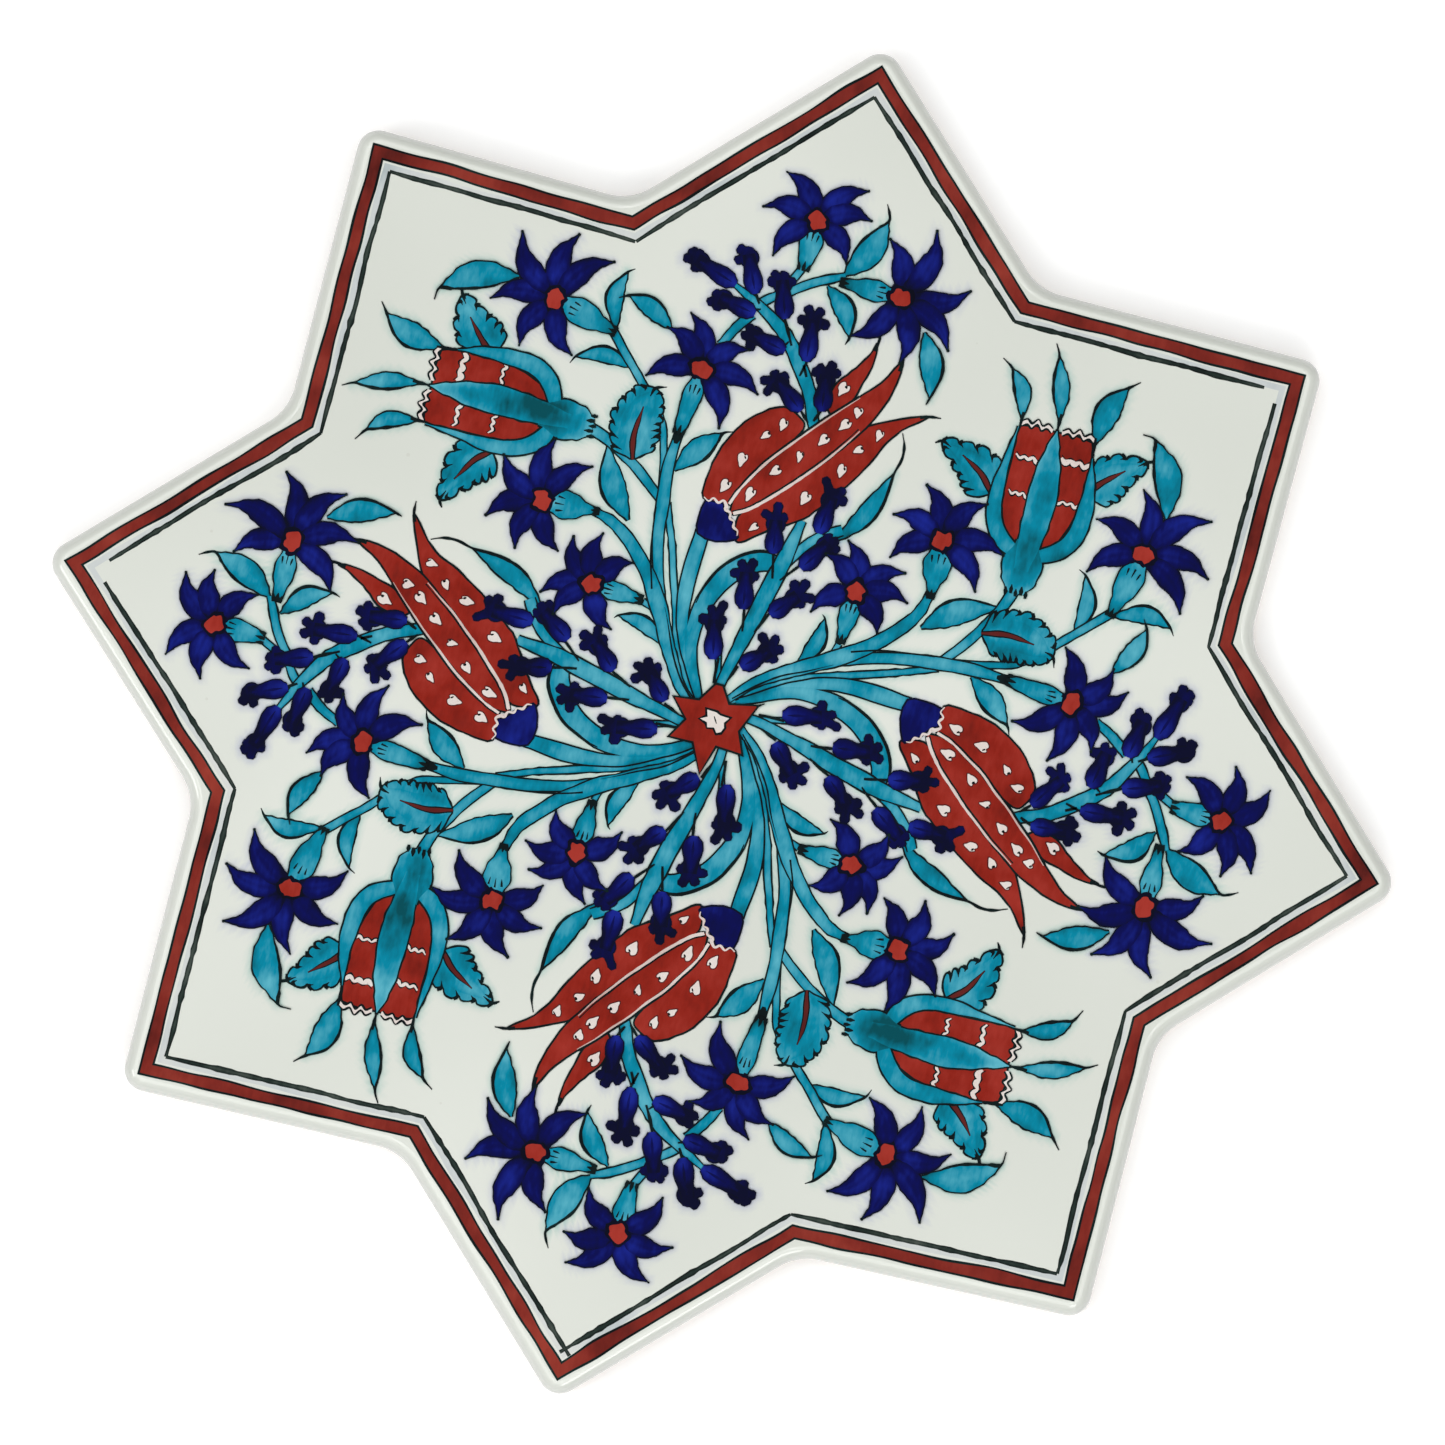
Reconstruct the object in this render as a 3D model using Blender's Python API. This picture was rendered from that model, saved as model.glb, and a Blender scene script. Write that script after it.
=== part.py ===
# Eight-pointed star tile of fired clay: a bisque body under a white glaze coat, and on the
# glaze the painted enamels, each motif a thin fired layer of its own.
# Metres, +Z up. The tile lies face up with the middle of its flat back at the origin.

from math import atan2, cos, pi, radians, sin, tan

import bmesh
import bpy
from mathutils import Vector
from mathutils.geometry import delaunay_2d_cdt

# ---- driving sizes, in metres --------------------------------------------------------
TIP_RADIUS = 0.1013          # centre to a glazed tip's sharp corner, before it is rounded
TIP_FILLET = 0.0032          # plan radius on the eight tips
VALLEY_FILLET = 0.0080       # plan radius in the eight valleys
BODY_THICKNESS = 0.0085      # fired clay, back to face
FOOT_CHAMFER = 0.0008        # bevel round the back edge
EDGE_ROUND = 0.0022          # roll of the face into the side
GLAZE_THICKNESS = 0.0004
GLAZE_GAP = 0.00005          # clearance between clay and glaze
GLAZE_STOP = 0.0012          # bare clay left above the back

RED_BAND_INSET = 0.00245     # side of the star to the red band
RED_BAND_WIDTH = 0.0016
CONTOUR_WIDTH = 0.00028      # dark line on each side of the red band
FRAME_LINE_INSET = 0.0053    # side of the star to the inner black line
FRAME_LINE_WIDTH = 0.0006

ENAMEL_THICKNESS = 0.00008   # one painted layer
ENAMEL_GAP = 0.00003         # clearance between layers, and under the lowest
VINE_LEVEL, BUD_LEVEL, SPRAY_LEVEL, FLOWER_LEVEL = 0, 1, 2, 3

CORNER_STEPS = 3             # straight runs in each rounded corner
ROLL_STEPS = 3               # straight runs in the rolled edge
STENCIL_TIP_RADIUS = 101.3   # the stencil below is drawn in millimetres on this star
QUARTERS = 4

# The star was cut by hand: how far each corner strays (outward, anticlockwise), in mm.
TIP_STRAY = ((0, 0), (0.5, -1.0), (0, 0), (0, -0.5), (0, 0), (0.5, 0), (0, 0), (0, 0.5))
VALLEY_STRAY = ((0, 0), (0.5, 0), (-0.5, 1.5), (0, 0.5), (-0.5, -1.0), (0, -0.5), (0.5, -0.5), (0.5, 1.0))

# ---- one quarter of the stencil, in millimetres --------------------------------------
# Star flowers: centre, heading in degrees, petals as (turn from the heading, length),
# calyx as (far end, width at the flower, width at the far end), and a leaf where one grows.
FLOWERS = (
    {"centre": (-3.7, 74.0), "heading": 88, "calyx": ((-4.0, 67.0), 3.4, 1.9), "leaf": None,
     "petals": ((-43, 8.4), (-74, 7.7), (-129, 7.4), (47, 8.2), (90, 8.0), (143, 8.0))},
    {"centre": (10.7, 66.1), "heading": 0, "calyx": ((2.2, 66.3), 3.2, 1.6),
     "leaf": ((14.2, 64.0), (17.4, 57.4), (18.3, 52.4), 3.6),
     "petals": ((113, 8.4), (74, 10.7), (17, 10.1), (-35, 10.3), (-76, 9.6), (-128, 9.2))},
    {"centre": (-14.8, 49.1), "heading": 83, "calyx": ((-15.9, 40.4), 3.4, 1.6),
     "leaf": ((-20.3, 53.6), (-24.2, 56.0), (-28.2, 56.9), 2.8),
     "petals": ((31, 8.3), (-46, 7.4), (-92, 8.7), (-142, 8.7), (115, 8.1), (59, 7.9))},
    {"centre": (14.6, 23.0), "heading": 92, "calyx": ((14.2, 15.9), 3.2, 1.0), "leaf": None,
     "petals": ((19, 7.4), (-57, 7.6), (-90, 7.5), (-140, 6.8), (125, 7.0), (49, 6.9))},
    {"centre": (25.0, 33.2), "heading": 91, "calyx": ((25.3, 25.2), 4.2, 1.0), "leaf": None,
     "petals": ((28, 8.3), (-38, 8.3), (-90, 9.0), (-134, 8.7), (120, 7.8), (73, 7.9))},
    {"centre": (53.9, 38.2), "heading": 74, "calyx": ((51.3, 28.9), 4.0, 1.4),
     "leaf": ((56.0, 43.4), (54.7, 49.8), (51.3, 55.0), 4.2),
     "petals": ((29, 9.2), (-34, 10.7), (-80, 9.8), (-118, 9.9), (135, 8.5), (82, 8.4))},
)
PETAL_WIDTH = 3.6
PETAL_CURL = 0.12            # how far a petal bows, as a part of its length

# Stems are (route, widths); leaves are (base, middle, tip, width); bells are (foot, mouth).
VINE_STEMS = (
    (((0.9, 4.2), (3.4, 6.6), (6.5, 8.7), (10, 10.7), (14.5, 13.2), (18.5, 15.9), (22, 19.2),
      (24.2, 22.2), (25.2, 25.4)), (1.0, 1.3, 1.4, 1.7, 2.2, 2.0, 1.9, 1.7, 1.2)),
    (((14, 12.3), (19, 14.2), (24, 15.3), (29, 15.9), (34, 16.2), (38.6, 15.9)),
     (1.2, 1.5, 1.5, 1.7, 1.8, 1.2)),
    (((1.6, 3.8), (5, 6.2), (9, 8.4), (14, 10.2), (19, 11.8), (24, 13.4), (29, 15.2)),
     (0.8, 1.0, 1.1, 1.0, 1.0, 1.0, 0.9)),
    (((29, 16.2), (31.3, 18.8), (33.6, 22.0), (35.6, 25.4), (37.0, 29.2)), (1.3, 1.5, 1.6, 1.8, 2.2)),
    (((30, 16.4), (35.5, 17.3), (40, 18.5), (43, 20.8), (46, 23.6), (51.3, 28.8)),
     (0.8, 0.9, 1.0, 1.0, 1.1, 1.2)),
    (((12.3, 12.0), (13.6, 14.0), (14.2, 16.2)), (0.9, 1.0, 1.0)),
)
VINE_LEAVES = (
    ((8.8, 10.4), (10.9, 14.5), (11.2, 18.2), 2.4),
    ((24.2, 20.6), (29.5, 23.6), (35.3, 25.8), 3.8),
    ((34.2, 15.6), (38.3, 12.4), (41.2, 8.6), 3.0),
    ((47.0, 24.8), (47.7, 29.2), (46.2, 33.5), 2.4),
    ((51.2, 28.6), (56.5, 29.7), (60.5, 28.6), 2.6),
    ((33.4, 21.2), (39.5, 22.4), (45.0, 20.4), 7.0),
)

TULIP_PETALS = (
    ((-10.2, 31), (-10.3, 34.5), (-9.6, 38), (-8, 41.5), (-5.6, 44.5), (-2, 46.6), (0.8, 45.6),
     (1.6, 44.2), (-1.5, 41.3), (-4.2, 37.4), (-5.9, 33.8), (-6.4, 31.2)),
    ((-5.9, 30.1), (-5.6, 32.5), (-3.5, 36.3), (-0.8, 40), (3.5, 45.4), (8, 50.3), (11, 53.4),
     (13.3, 57.2), (12.9, 52.5), (11, 47.6), (8.4, 43.6), (5.5, 40), (2, 36), (-1.5, 32.6),
     (-4.9, 29.8)),
    ((-4.6, 29.5), (-1.2, 32.4), (2.5, 35.6), (6.2, 39.8), (9.4, 44.4), (10.7, 46.4), (15.2, 49),
     (18.9, 50.2), (15.5, 47.3), (13.4, 44.4), (12, 41.3), (9.8, 37.8), (7.3, 34.5), (4.6, 31.4),
     (0.5, 29), (-2.2, 26.8), (-4.1, 26.1)),
    ((4.2, 48.2), (4.5, 51.4), (6.4, 54), (8.2, 56.6), (9.1, 58.6), (9.2, 56), (8.2, 52.8),
     (7.2, 49.6), (5.4, 47.4)),
    ((-10.2, 31.4), (-8.4, 31.6), (-6.2, 31.6), (-4.6, 30.2), (-4.1, 26.1), (-7, 25.2),
     (-9.9, 25.7), (-10.3, 28)),
)
TULIP_STEMS = (
    (((-6.1, 30.8), (-3.9, 36.3), (-0.6, 41), (4.5, 47), (8.3, 50.6)), (1.4, 1.4, 1.4, 1.4, 1.0)),
    (((-4.6, 30), (-0.6, 33.4), (4.2, 38), (8.6, 43.8), (10.6, 47)), (1.2, 1.4, 1.4, 1.4, 1.0)),
    (((-8.3, 12), (-9.2, 16), (-9.3, 20), (-9.1, 26.2)), (1.6, 2.2, 2.3, 2.1)),
    (((-4.5, 2.9), (-5.5, 5), (-7.6, 9.3), (-7.9, 13.5), (-6.7, 17.8), (-4.6, 21.2), (-1.8, 23.3),
      (1.2, 24.2)), (0.8, 1.6, 2.0, 2.4, 2.8, 3.2, 3.0, 2.6)),
)

BUD_OUTLINE = (
    (35.3, 28.6), (34.4, 31), (34.2, 33.6), (31.6, 35.4), (30.2, 38.5), (30, 42.5), (30.7, 47.5),
    (31.9, 52.8), (34.2, 53.8), (37.3, 53.4), (40.2, 53.7), (43.0, 52.2), (43.6, 46), (45.3, 43),
    (45.1, 39.5), (43.6, 36.5), (41.6, 34.6), (39.9, 33.7), (40.1, 31.6), (38.8, 28.5),
)
BUD_STALKS = (
    (((32.0, 51.5), (32.0, 54.0)), (0.6, 0.7)),
    (((37.3, 52.5), (37.3, 55.0)), (0.6, 0.7)),
    (((42.9, 51.0), (43.1, 53.0)), (0.6, 0.7)),
)
BUD_LEAVES = (
    ((32.0, 53.4), (31.0, 57.4), (28.6, 60.4), 2.9),
    ((37.4, 54.2), (36.5, 59.0), (34.9, 63.8), 2.7),
    ((43.1, 52.0), (43.8, 57.2), (46.2, 61.6), 3.8),
    ((31.0, 43.2), (26.8, 44.9), (21.3, 47.2), 6.6),
    ((42.8, 44.6), (47.0, 47.9), (51.8, 51.6), 6.6),
)

OUTER_STEMS = (
    (((2.2, 45.2), (1.0, 49), (-1.2, 53), (-4.2, 56.8), (-8.5, 59.8), (-14.0, 62.6)),
     (1.9, 2.0, 2.1, 2.0, 1.5, 0.8)),
    (((-9.3, 60), (-7.5, 61.6), (-5, 63.2), (-2, 65.2), (2.2, 67.2)), (1.2, 1.3, 1.3, 1.3, 1.1)),
    (((-5.8, 63.4), (-4.0, 67.2)), (1.2, 1.1)),
    (((-9.6, 58.6), (-11.4, 56.2), (-13.0, 53.2)), (1.4, 1.4, 1.3)),
)
OUTER_LEAVES = (
    ((1.6, 66.8), (4.9, 71.6), (6.4, 76.8), 4.0),
    ((-0.4, 65.6), (3.2, 62.4), (5.0, 58.2), 3.2),
)
OUTER_BELLS = (
    ((-13.0, 62.2), (-21.3, 64.9)), ((-9.4, 61.0), (-12.7, 68.0)), ((-4.2, 57.6), (-7.0, 65.8)),
    ((-8.6, 59.6), (-16.2, 59.6)), ((-2.6, 55.2), (-10.2, 55.9)), ((-0.2, 52.2), (-1.0, 61.8)),
    ((1.6, 46.2), (-5.0, 50.6)), ((2.6, 46.2), (2.9, 54.6)),
)

INNER_STEMS = (
    (((-1.3, 5.2), (-0.2, 10), (1.0, 15), (2.2, 20), (3.4, 25), (4.6, 31.2)),
     (1.2, 1.7, 2.3, 2.5, 2.3, 1.3)),
    (((3.2, 23.5), (5.2, 26.8), (7.5, 29.4), (10.6, 31.2)), (1.4, 1.4, 1.4, 1.6)),
    (((-1.6, 5.4), (-2.6, 9.6)), (0.8, 0.8)),
)
INNER_LEAVES = (((9.6, 29.8), (14.0, 35.8), (16.3, 45.0), 2.7),)
INNER_BELLS = (
    ((-2.4, 8.4), (-5.0, 16.6)), ((-0.2, 8.2), (6.2, 13.0)), ((0.2, 16.0), (-2.0, 23.9)),
    ((2.2, 16.4), (8.0, 21.8)), ((2.2, 24.6), (0.8, 32.4)), ((4.6, 23.6), (10.2, 29.6)),
    ((6.0, 28.6), (8.3, 37.6)),
)
# How a leaf swells from base to tip, as parts of its width.
LEAF_SWELL = (0.05, 0.72, 1.0, 0.62, 0.03)
# A hyacinth bell, as (place along it, half width over length), foot to mouth.
BELL_SHAPE = ((0.0, 0.10), (0.2, 0.21), (0.5, 0.16), (0.8, 0.32), (1.0, 0.22))

CENTRE_STAR = (
    (-1.9, 5.2), (-0.8, 5.2), (0.7, 2.8), (4.9, 3.6), (3.0, -0.7), (4.3, -3.9), (0.3, -3.6),
    (-1.05, -8.0), (-3.1, -3.8), (-6.7, -3.8), (-4.9, -0.8), (-7.4, 2.0), (-3.7, 2.4),
)

# The stencil shifted each time it was laid down again: how far, in mm, each anchor motif
# strays in each quarter. The anchors are the six flowers, then the tulip and the rosebud.
EXTRA_ANCHORS = ((1.5, 41.0), (37.5, 42.0))
QUARTER_STRAY = (
    ((0, 0), (0, 0), (0, 0), (0, 0), (0, 0), (0, 0), (0, 0), (0, 0)),
    ((0, 0.6), (-0.1, 0.7), (-0.4, 0.5), (0.4, -0.2), (0, -0.5), (0.1, -0.4), (-0.3, 0.4), (0.3, 0)),
    ((0.3, 1.4), (0.3, 1.0), (-0.2, 1.0), (1.0, 0.3), (0.8, -0.3), (0.8, 0.1), (0.3, 1.0), (1.1, 0)),
    ((0.3, -0.1), (0.8, 0.1), (0.3, -0.4), (1.0, 0.5), (0.8, -0.4), (1.3, 0.2), (0.5, 0.1), (1.1, 0.2)),
)

# ---- colours: linear red, green, blue; then roughness --------------------------------
CLAY = ((0.62, 0.47, 0.36), 0.85)
WHITE_GLAZE = ((0.74, 0.76, 0.70), 0.12)
CORAL_RED = ((0.45, 0.04, 0.02), 0.22)
GREEN_BLACK = ((0.012, 0.02, 0.018), 0.25)
COBALT = ((0.008, 0.01, 0.20), 0.15)
TURQUOISE = ((0.0, 0.28, 0.42), 0.15)


def clear_scene():
    for old in list(bpy.data.objects):
        bpy.data.objects.remove(old, do_unlink=True)


def make_material(name, finish):
    colour, roughness = finish
    material = bpy.data.materials.new(name)
    material.use_nodes = True
    shader = material.node_tree.nodes["Principled BSDF"]
    shader.inputs["Base Color"].default_value = (*colour, 1.0)
    shader.inputs["Roughness"].default_value = roughness
    shader.inputs["Metallic"].default_value = 0.0
    return material


def add_object(name, bm, material, smooth_angle=None):
    bmesh.ops.recalc_face_normals(bm, faces=bm.faces)
    mesh = bpy.data.meshes.new(name)
    bm.to_mesh(mesh)
    bm.free()
    mesh.materials.append(material)
    if smooth_angle is not None:
        mesh.shade_smooth()
        mesh.set_sharp_from_angle(angle=radians(smooth_angle))
    part = bpy.data.objects.new(name, mesh)
    bpy.context.scene.collection.objects.link(part)
    return part


# ---- the star's outline --------------------------------------------------------------

def star_corners():
    """The sixteen sharp corners, anticlockwise, a tip first: an eight-pointed star of two squares."""
    valley_radius = TIP_RADIUS * cos(pi / 4) / cos(pi / 8)
    corners = []
    for index in range(16):
        strays, radius = (TIP_STRAY, TIP_RADIUS) if index % 2 == 0 else (VALLEY_STRAY, valley_radius)
        out, along = (value * 0.001 for value in strays[index // 2])
        angle = index * pi / 8
        outward = Vector((cos(angle), sin(angle)))
        sideways = Vector((-sin(angle), cos(angle)))
        corners.append(outward * (radius + out) + sideways * along)
    return corners


def inset_corners(corners, distance):
    """Corners of the same outline with every side moved inwards."""
    moved = []
    count = len(corners)
    for index, corner in enumerate(corners):
        before = (corner - corners[index - 1]).normalized()
        after = (corners[(index + 1) % count] - corner).normalized()
        left_before = Vector((-before.y, before.x))
        left_after = Vector((-after.y, after.x))
        bisector = left_before + left_after
        moved.append(corner + bisector * (distance / (1 + left_before.dot(left_after))))
    return moved


def rounded_outline(inset):
    """The star's outline moved inwards, with its tips and valleys rounded to arcs."""
    corners = inset_corners(star_corners(), inset)
    count = len(corners)
    points = []
    for index, corner in enumerate(corners):
        is_tip = index % 2 == 0
        radius = max(TIP_FILLET - inset, 0.0002) if is_tip else VALLEY_FILLET + inset
        before = (corners[index - 1] - corner).normalized()
        after = (corners[(index + 1) % count] - corner).normalized()
        half_angle = before.angle(after) / 2
        middle = (before + after).normalized()
        centre = corner + middle * (radius / sin(half_angle))
        start = corner + before * (radius / tan(half_angle)) - centre
        end = corner + after * (radius / tan(half_angle)) - centre
        turn = (pi - 2 * half_angle) * (1 if is_tip else -1)
        first = atan2(start.y, start.x)
        for step in range(CORNER_STEPS + 1):
            angle = first + turn * step / CORNER_STEPS
            points.append(centre + Vector((cos(angle), sin(angle))) * radius)
        points[-1] = centre + end
    return points


def stacked_solid(name, rings, material, capped=True, smooth_angle=None):
    """A solid skinned over outlines stacked in order; uncapped, its last ring joins its first."""
    bm = bmesh.new()
    loops = [[bm.verts.new((point.x, point.y, height)) for point in outline] for outline, height in rings]
    pairs = list(zip(loops, loops[1:]))
    if not capped:
        pairs.append((loops[-1], loops[0]))
    for lower, upper in pairs:
        count = len(lower)
        for index in range(count):
            following = (index + 1) % count
            bm.faces.new((lower[index], lower[following], upper[following], upper[index]))
    if capped:
        bm.faces.new(list(reversed(loops[0])))
        bm.faces.new(loops[-1])
    bmesh.ops.triangulate(bm, faces=[face for face in bm.faces if len(face.verts) > 4])
    return add_object(name, bm, material, smooth_angle)


def rolled_rings(inset, face_height, foot_height):
    """Outlines up the side and over the rolled edge, all the given distance inside the glaze."""
    radius = EDGE_ROUND - inset
    rings = [(rounded_outline(inset), foot_height)]
    for step in range(ROLL_STEPS + 1):
        angle = step / ROLL_STEPS * pi / 2
        height = face_height - radius * (1 - sin(angle))
        rings.append((rounded_outline(EDGE_ROUND - radius * cos(angle)), height))
    return rings


def build_body(material):
    inset = GLAZE_THICKNESS + GLAZE_GAP
    rings = [(rounded_outline(inset + FOOT_CHAMFER), 0.0)]
    rings += rolled_rings(inset, BODY_THICKNESS, FOOT_CHAMFER)
    stacked_solid("bisque_body", rings, material, smooth_angle=40)


def glaze_top():
    return BODY_THICKNESS + GLAZE_GAP + GLAZE_THICKNESS


def build_glaze(material):
    """A skin over the face and side, open below, where the bare clay foot shows."""
    inner = rolled_rings(GLAZE_THICKNESS, BODY_THICKNESS + GLAZE_GAP, GLAZE_STOP)
    outer = rolled_rings(0.0, glaze_top(), GLAZE_STOP)
    stacked_solid("glaze_coat", list(reversed(inner)) + outer, material, smooth_angle=40)


# ---- painted layers ------------------------------------------------------------------

def layer_heights(level):
    bottom = glaze_top() + ENAMEL_GAP + level * (ENAMEL_THICKNESS + ENAMEL_GAP)
    return bottom, bottom + ENAMEL_THICKNESS


def painted_ring(name, inset, width, material):
    """A line of even width that follows the star's side at the given inset."""
    bottom, top = layer_heights(VINE_LEVEL)
    outside = inset_corners(star_corners(), inset)
    inside = inset_corners(star_corners(), inset + width)
    rings = [(outside, bottom), (outside, top), (inside, top), (inside, bottom)]
    stacked_solid(name, rings, material, capped=False)


def painted_shape(name, outlines, level, material):
    """One flat layer over the union of closed outlines, given in millimetres."""
    points, loops = [], []
    for outline in outlines:
        loops.append(list(range(len(points), len(points) + len(outline))))
        points.extend(Vector(point) for point in outline)
    flat_points, _, triangles, *_ = delaunay_2d_cdt(points, [], loops, 1, 0.001)
    bottom, top = layer_heights(level)
    bm = bmesh.new()
    verts = [bm.verts.new((point.x * 0.001, point.y * 0.001, bottom)) for point in flat_points]
    faces = [bm.faces.new([verts[index] for index in triangle]) for triangle in triangles]
    bmesh.ops.delete(bm, geom=[vert for vert in bm.verts if not vert.link_faces], context="VERTS")
    inner_edges = [edge for edge in bm.edges if len(edge.link_faces) == 2]
    bmesh.ops.dissolve_limit(bm, angle_limit=radians(1), verts=bm.verts, edges=inner_edges)
    bmesh.ops.triangulate(bm, faces=bm.faces)
    extruded = bmesh.ops.extrude_face_region(bm, geom=list(bm.faces), use_keep_orig=True)
    raised = [item for item in extruded["geom"] if isinstance(item, bmesh.types.BMVert)]
    bmesh.ops.translate(bm, verts=raised, vec=(0, 0, top - bottom))
    return add_object(name, bm, material)


def smooth_route(points, steps):
    """Points along a smooth curve through the given ones, with the given steps between them."""
    points = [Vector(point) for point in points]
    ends = [points[0] * 2 - points[1]] + points + [points[-1] * 2 - points[-2]]
    route = []
    for index in range(1, len(ends) - 2):
        p0, p1, p2, p3 = ends[index - 1:index + 3]
        for step in range(steps):
            t = step / steps
            route.append(0.5 * (2 * p1 + (p2 - p0) * t + (2 * p0 - 5 * p1 + 4 * p2 - p3) * t * t
                                + (3 * p1 - p0 - 3 * p2 + p3) * t ** 3))
    route.append(points[-1])
    return route


def strip(points, widths, steps=1):
    """The outline of a stroke that follows a route with a width at each of its points."""
    route = smooth_route(points, steps)
    left, right = [], []
    for index, point in enumerate(route):
        before = route[max(index - 1, 0)]
        after = route[min(index + 1, len(route) - 1)]
        along = (after - before).normalized()
        place = index / steps
        low = min(int(place), len(widths) - 2)
        width = widths[low] + (widths[low + 1] - widths[low]) * (place - low)
        side = Vector((-along.y, along.x)) * width / 2
        left.append(point + side)
        right.append(point - side)
    return left + right[::-1]


def leaf(base, middle, tip, width):
    """A lance leaf with both ends pointed, as a closed outline."""
    route = smooth_route((base, middle, tip), 2)
    return strip(route, tuple(width * share for share in LEAF_SWELL))


def petal(centre, angle, length, bow):
    """A pointed petal from the flower's centre, bowed to one side."""
    along = Vector((cos(angle), sin(angle)))
    side = Vector((-along.y, along.x)) * bow * length
    start = Vector(centre)
    route = (start, start + along * length * 0.45 + side, start + along * length)
    widths = (1.6, PETAL_WIDTH, 0.12)
    return strip(route, widths, 2)


def bell(foot, mouth):
    """A hyacinth bell: round foot, narrow waist and flared mouth."""
    foot, mouth = Vector(foot), Vector(mouth)
    along = mouth - foot
    side = Vector((-along.y, along.x))
    left = [foot + along * place + side * half for place, half in BELL_SHAPE]
    right = [foot + along * place - side * half for place, half in reversed(BELL_SHAPE)]
    return left + right


def flower_outlines(flower):
    centre, heading = flower["centre"], flower["heading"]
    outlines = []
    for turn, length in flower["petals"]:
        bow = -PETAL_CURL if turn > 0 else PETAL_CURL
        outlines.append(petal(centre, radians(heading + turn), length, bow))
    far_end, wide, narrow = flower["calyx"]
    outlines.append(strip((centre, far_end), (wide, narrow)))
    if flower["leaf"]:
        outlines.append(leaf(*flower["leaf"]))
    return outlines


# ---- laying the stencil down four times ----------------------------------------------

def quarter_turn(point, quarter):
    angle = quarter * pi / 2
    x, y = point
    return Vector((x * cos(angle) - y * sin(angle), x * sin(angle) + y * cos(angle)))


def stray_anchors():
    """Where each anchor motif belongs, and how far it strays, on the whole tile."""
    homes = [flower["centre"] for flower in FLOWERS] + list(EXTRA_ANCHORS)
    anchors = [(Vector((0, 0)), Vector((0, 0)))]
    for quarter, strays in enumerate(QUARTER_STRAY):
        for home, stray in zip(homes, strays):
            anchors.append((quarter_turn(home, quarter), quarter_turn(stray, quarter)))
    return anchors


def lay_down(outlines, quarter, anchors):
    """Turn outlines into their quarter, and shift each point with the motifs nearest to it."""
    scale = TIP_RADIUS * 1000 / STENCIL_TIP_RADIUS
    laid = []
    for outline in outlines:
        shifted = []
        for point in outline:
            place = quarter_turn(point, quarter)
            pulls = [1 / (4.0 + (place - home).length_squared) ** 2 for home, _ in anchors]
            total = sum(pulls)
            stray = sum((drift * pull for pull, (_, drift) in zip(pulls, anchors)), Vector((0, 0)))
            shifted.append((place + stray / total) * scale)
        laid.append(shifted)
    return laid


def build_borders(red, black):
    painted_ring("red_border_band", RED_BAND_INSET, RED_BAND_WIDTH, red)
    outer_line = RED_BAND_INSET - ENAMEL_GAP - CONTOUR_WIDTH
    inner_line = RED_BAND_INSET + RED_BAND_WIDTH + ENAMEL_GAP
    painted_ring("band_contour_outer", outer_line, CONTOUR_WIDTH, black)
    painted_ring("band_contour_inner", inner_line, CONTOUR_WIDTH, black)
    painted_ring("inner_black_line", FRAME_LINE_INSET, FRAME_LINE_WIDTH, black)


def build_quarter(quarter, anchors, red, cobalt, turquoise):
    number = quarter + 1

    def paint(name, outlines, level, material):
        painted_shape(name, lay_down(outlines, quarter, anchors), level, material)

    def strips(stems):
        return [strip(points, widths) for points, widths in stems]

    vine = strips(VINE_STEMS) + [leaf(*shape) for shape in VINE_LEAVES]
    paint(f"vine_{number}", vine, VINE_LEVEL, turquoise)
    tulip = [list(outline) for outline in TULIP_PETALS] + strips(TULIP_STEMS)
    paint(f"tulip_{number}", tulip, BUD_LEVEL, red)
    rosebud = [list(BUD_OUTLINE)] + strips(BUD_STALKS) + [leaf(*shape) for shape in BUD_LEAVES]
    paint(f"rosebud_{number}", rosebud, BUD_LEVEL, turquoise)
    outer = strips(OUTER_STEMS) + [leaf(*shape) for shape in OUTER_LEAVES]
    paint(f"outer_spray_{number}", outer + [bell(*ends) for ends in OUTER_BELLS], SPRAY_LEVEL, cobalt)
    inner = strips(INNER_STEMS) + [leaf(*shape) for shape in INNER_LEAVES]
    paint(f"inner_spray_{number}", inner + [bell(*ends) for ends in INNER_BELLS], SPRAY_LEVEL, cobalt)
    for index, flower in enumerate(FLOWERS):
        name = f"star_flower_{quarter * len(FLOWERS) + index + 1:02d}"
        paint(name, flower_outlines(flower), FLOWER_LEVEL, cobalt)


def main():
    clear_scene()
    clay = make_material("bisque_clay", CLAY)
    glaze = make_material("white_glaze", WHITE_GLAZE)
    red = make_material("coral_red", CORAL_RED)
    black = make_material("green_black", GREEN_BLACK)
    cobalt = make_material("cobalt_blue", COBALT)
    turquoise = make_material("turquoise", TURQUOISE)

    build_body(clay)
    build_glaze(glaze)
    build_borders(red, black)
    anchors = stray_anchors()
    star = lay_down([CENTRE_STAR], 0, anchors)
    painted_shape("centre_star", star, FLOWER_LEVEL, red)
    for quarter in range(QUARTERS):
        build_quarter(quarter, anchors, red, cobalt, turquoise)


main()
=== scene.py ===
from math import atan2, cos, pi, radians, sin, tan

import bmesh
import bpy
import numpy as np
from mathutils import Matrix, Vector, geometry, kdtree, noise


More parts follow.
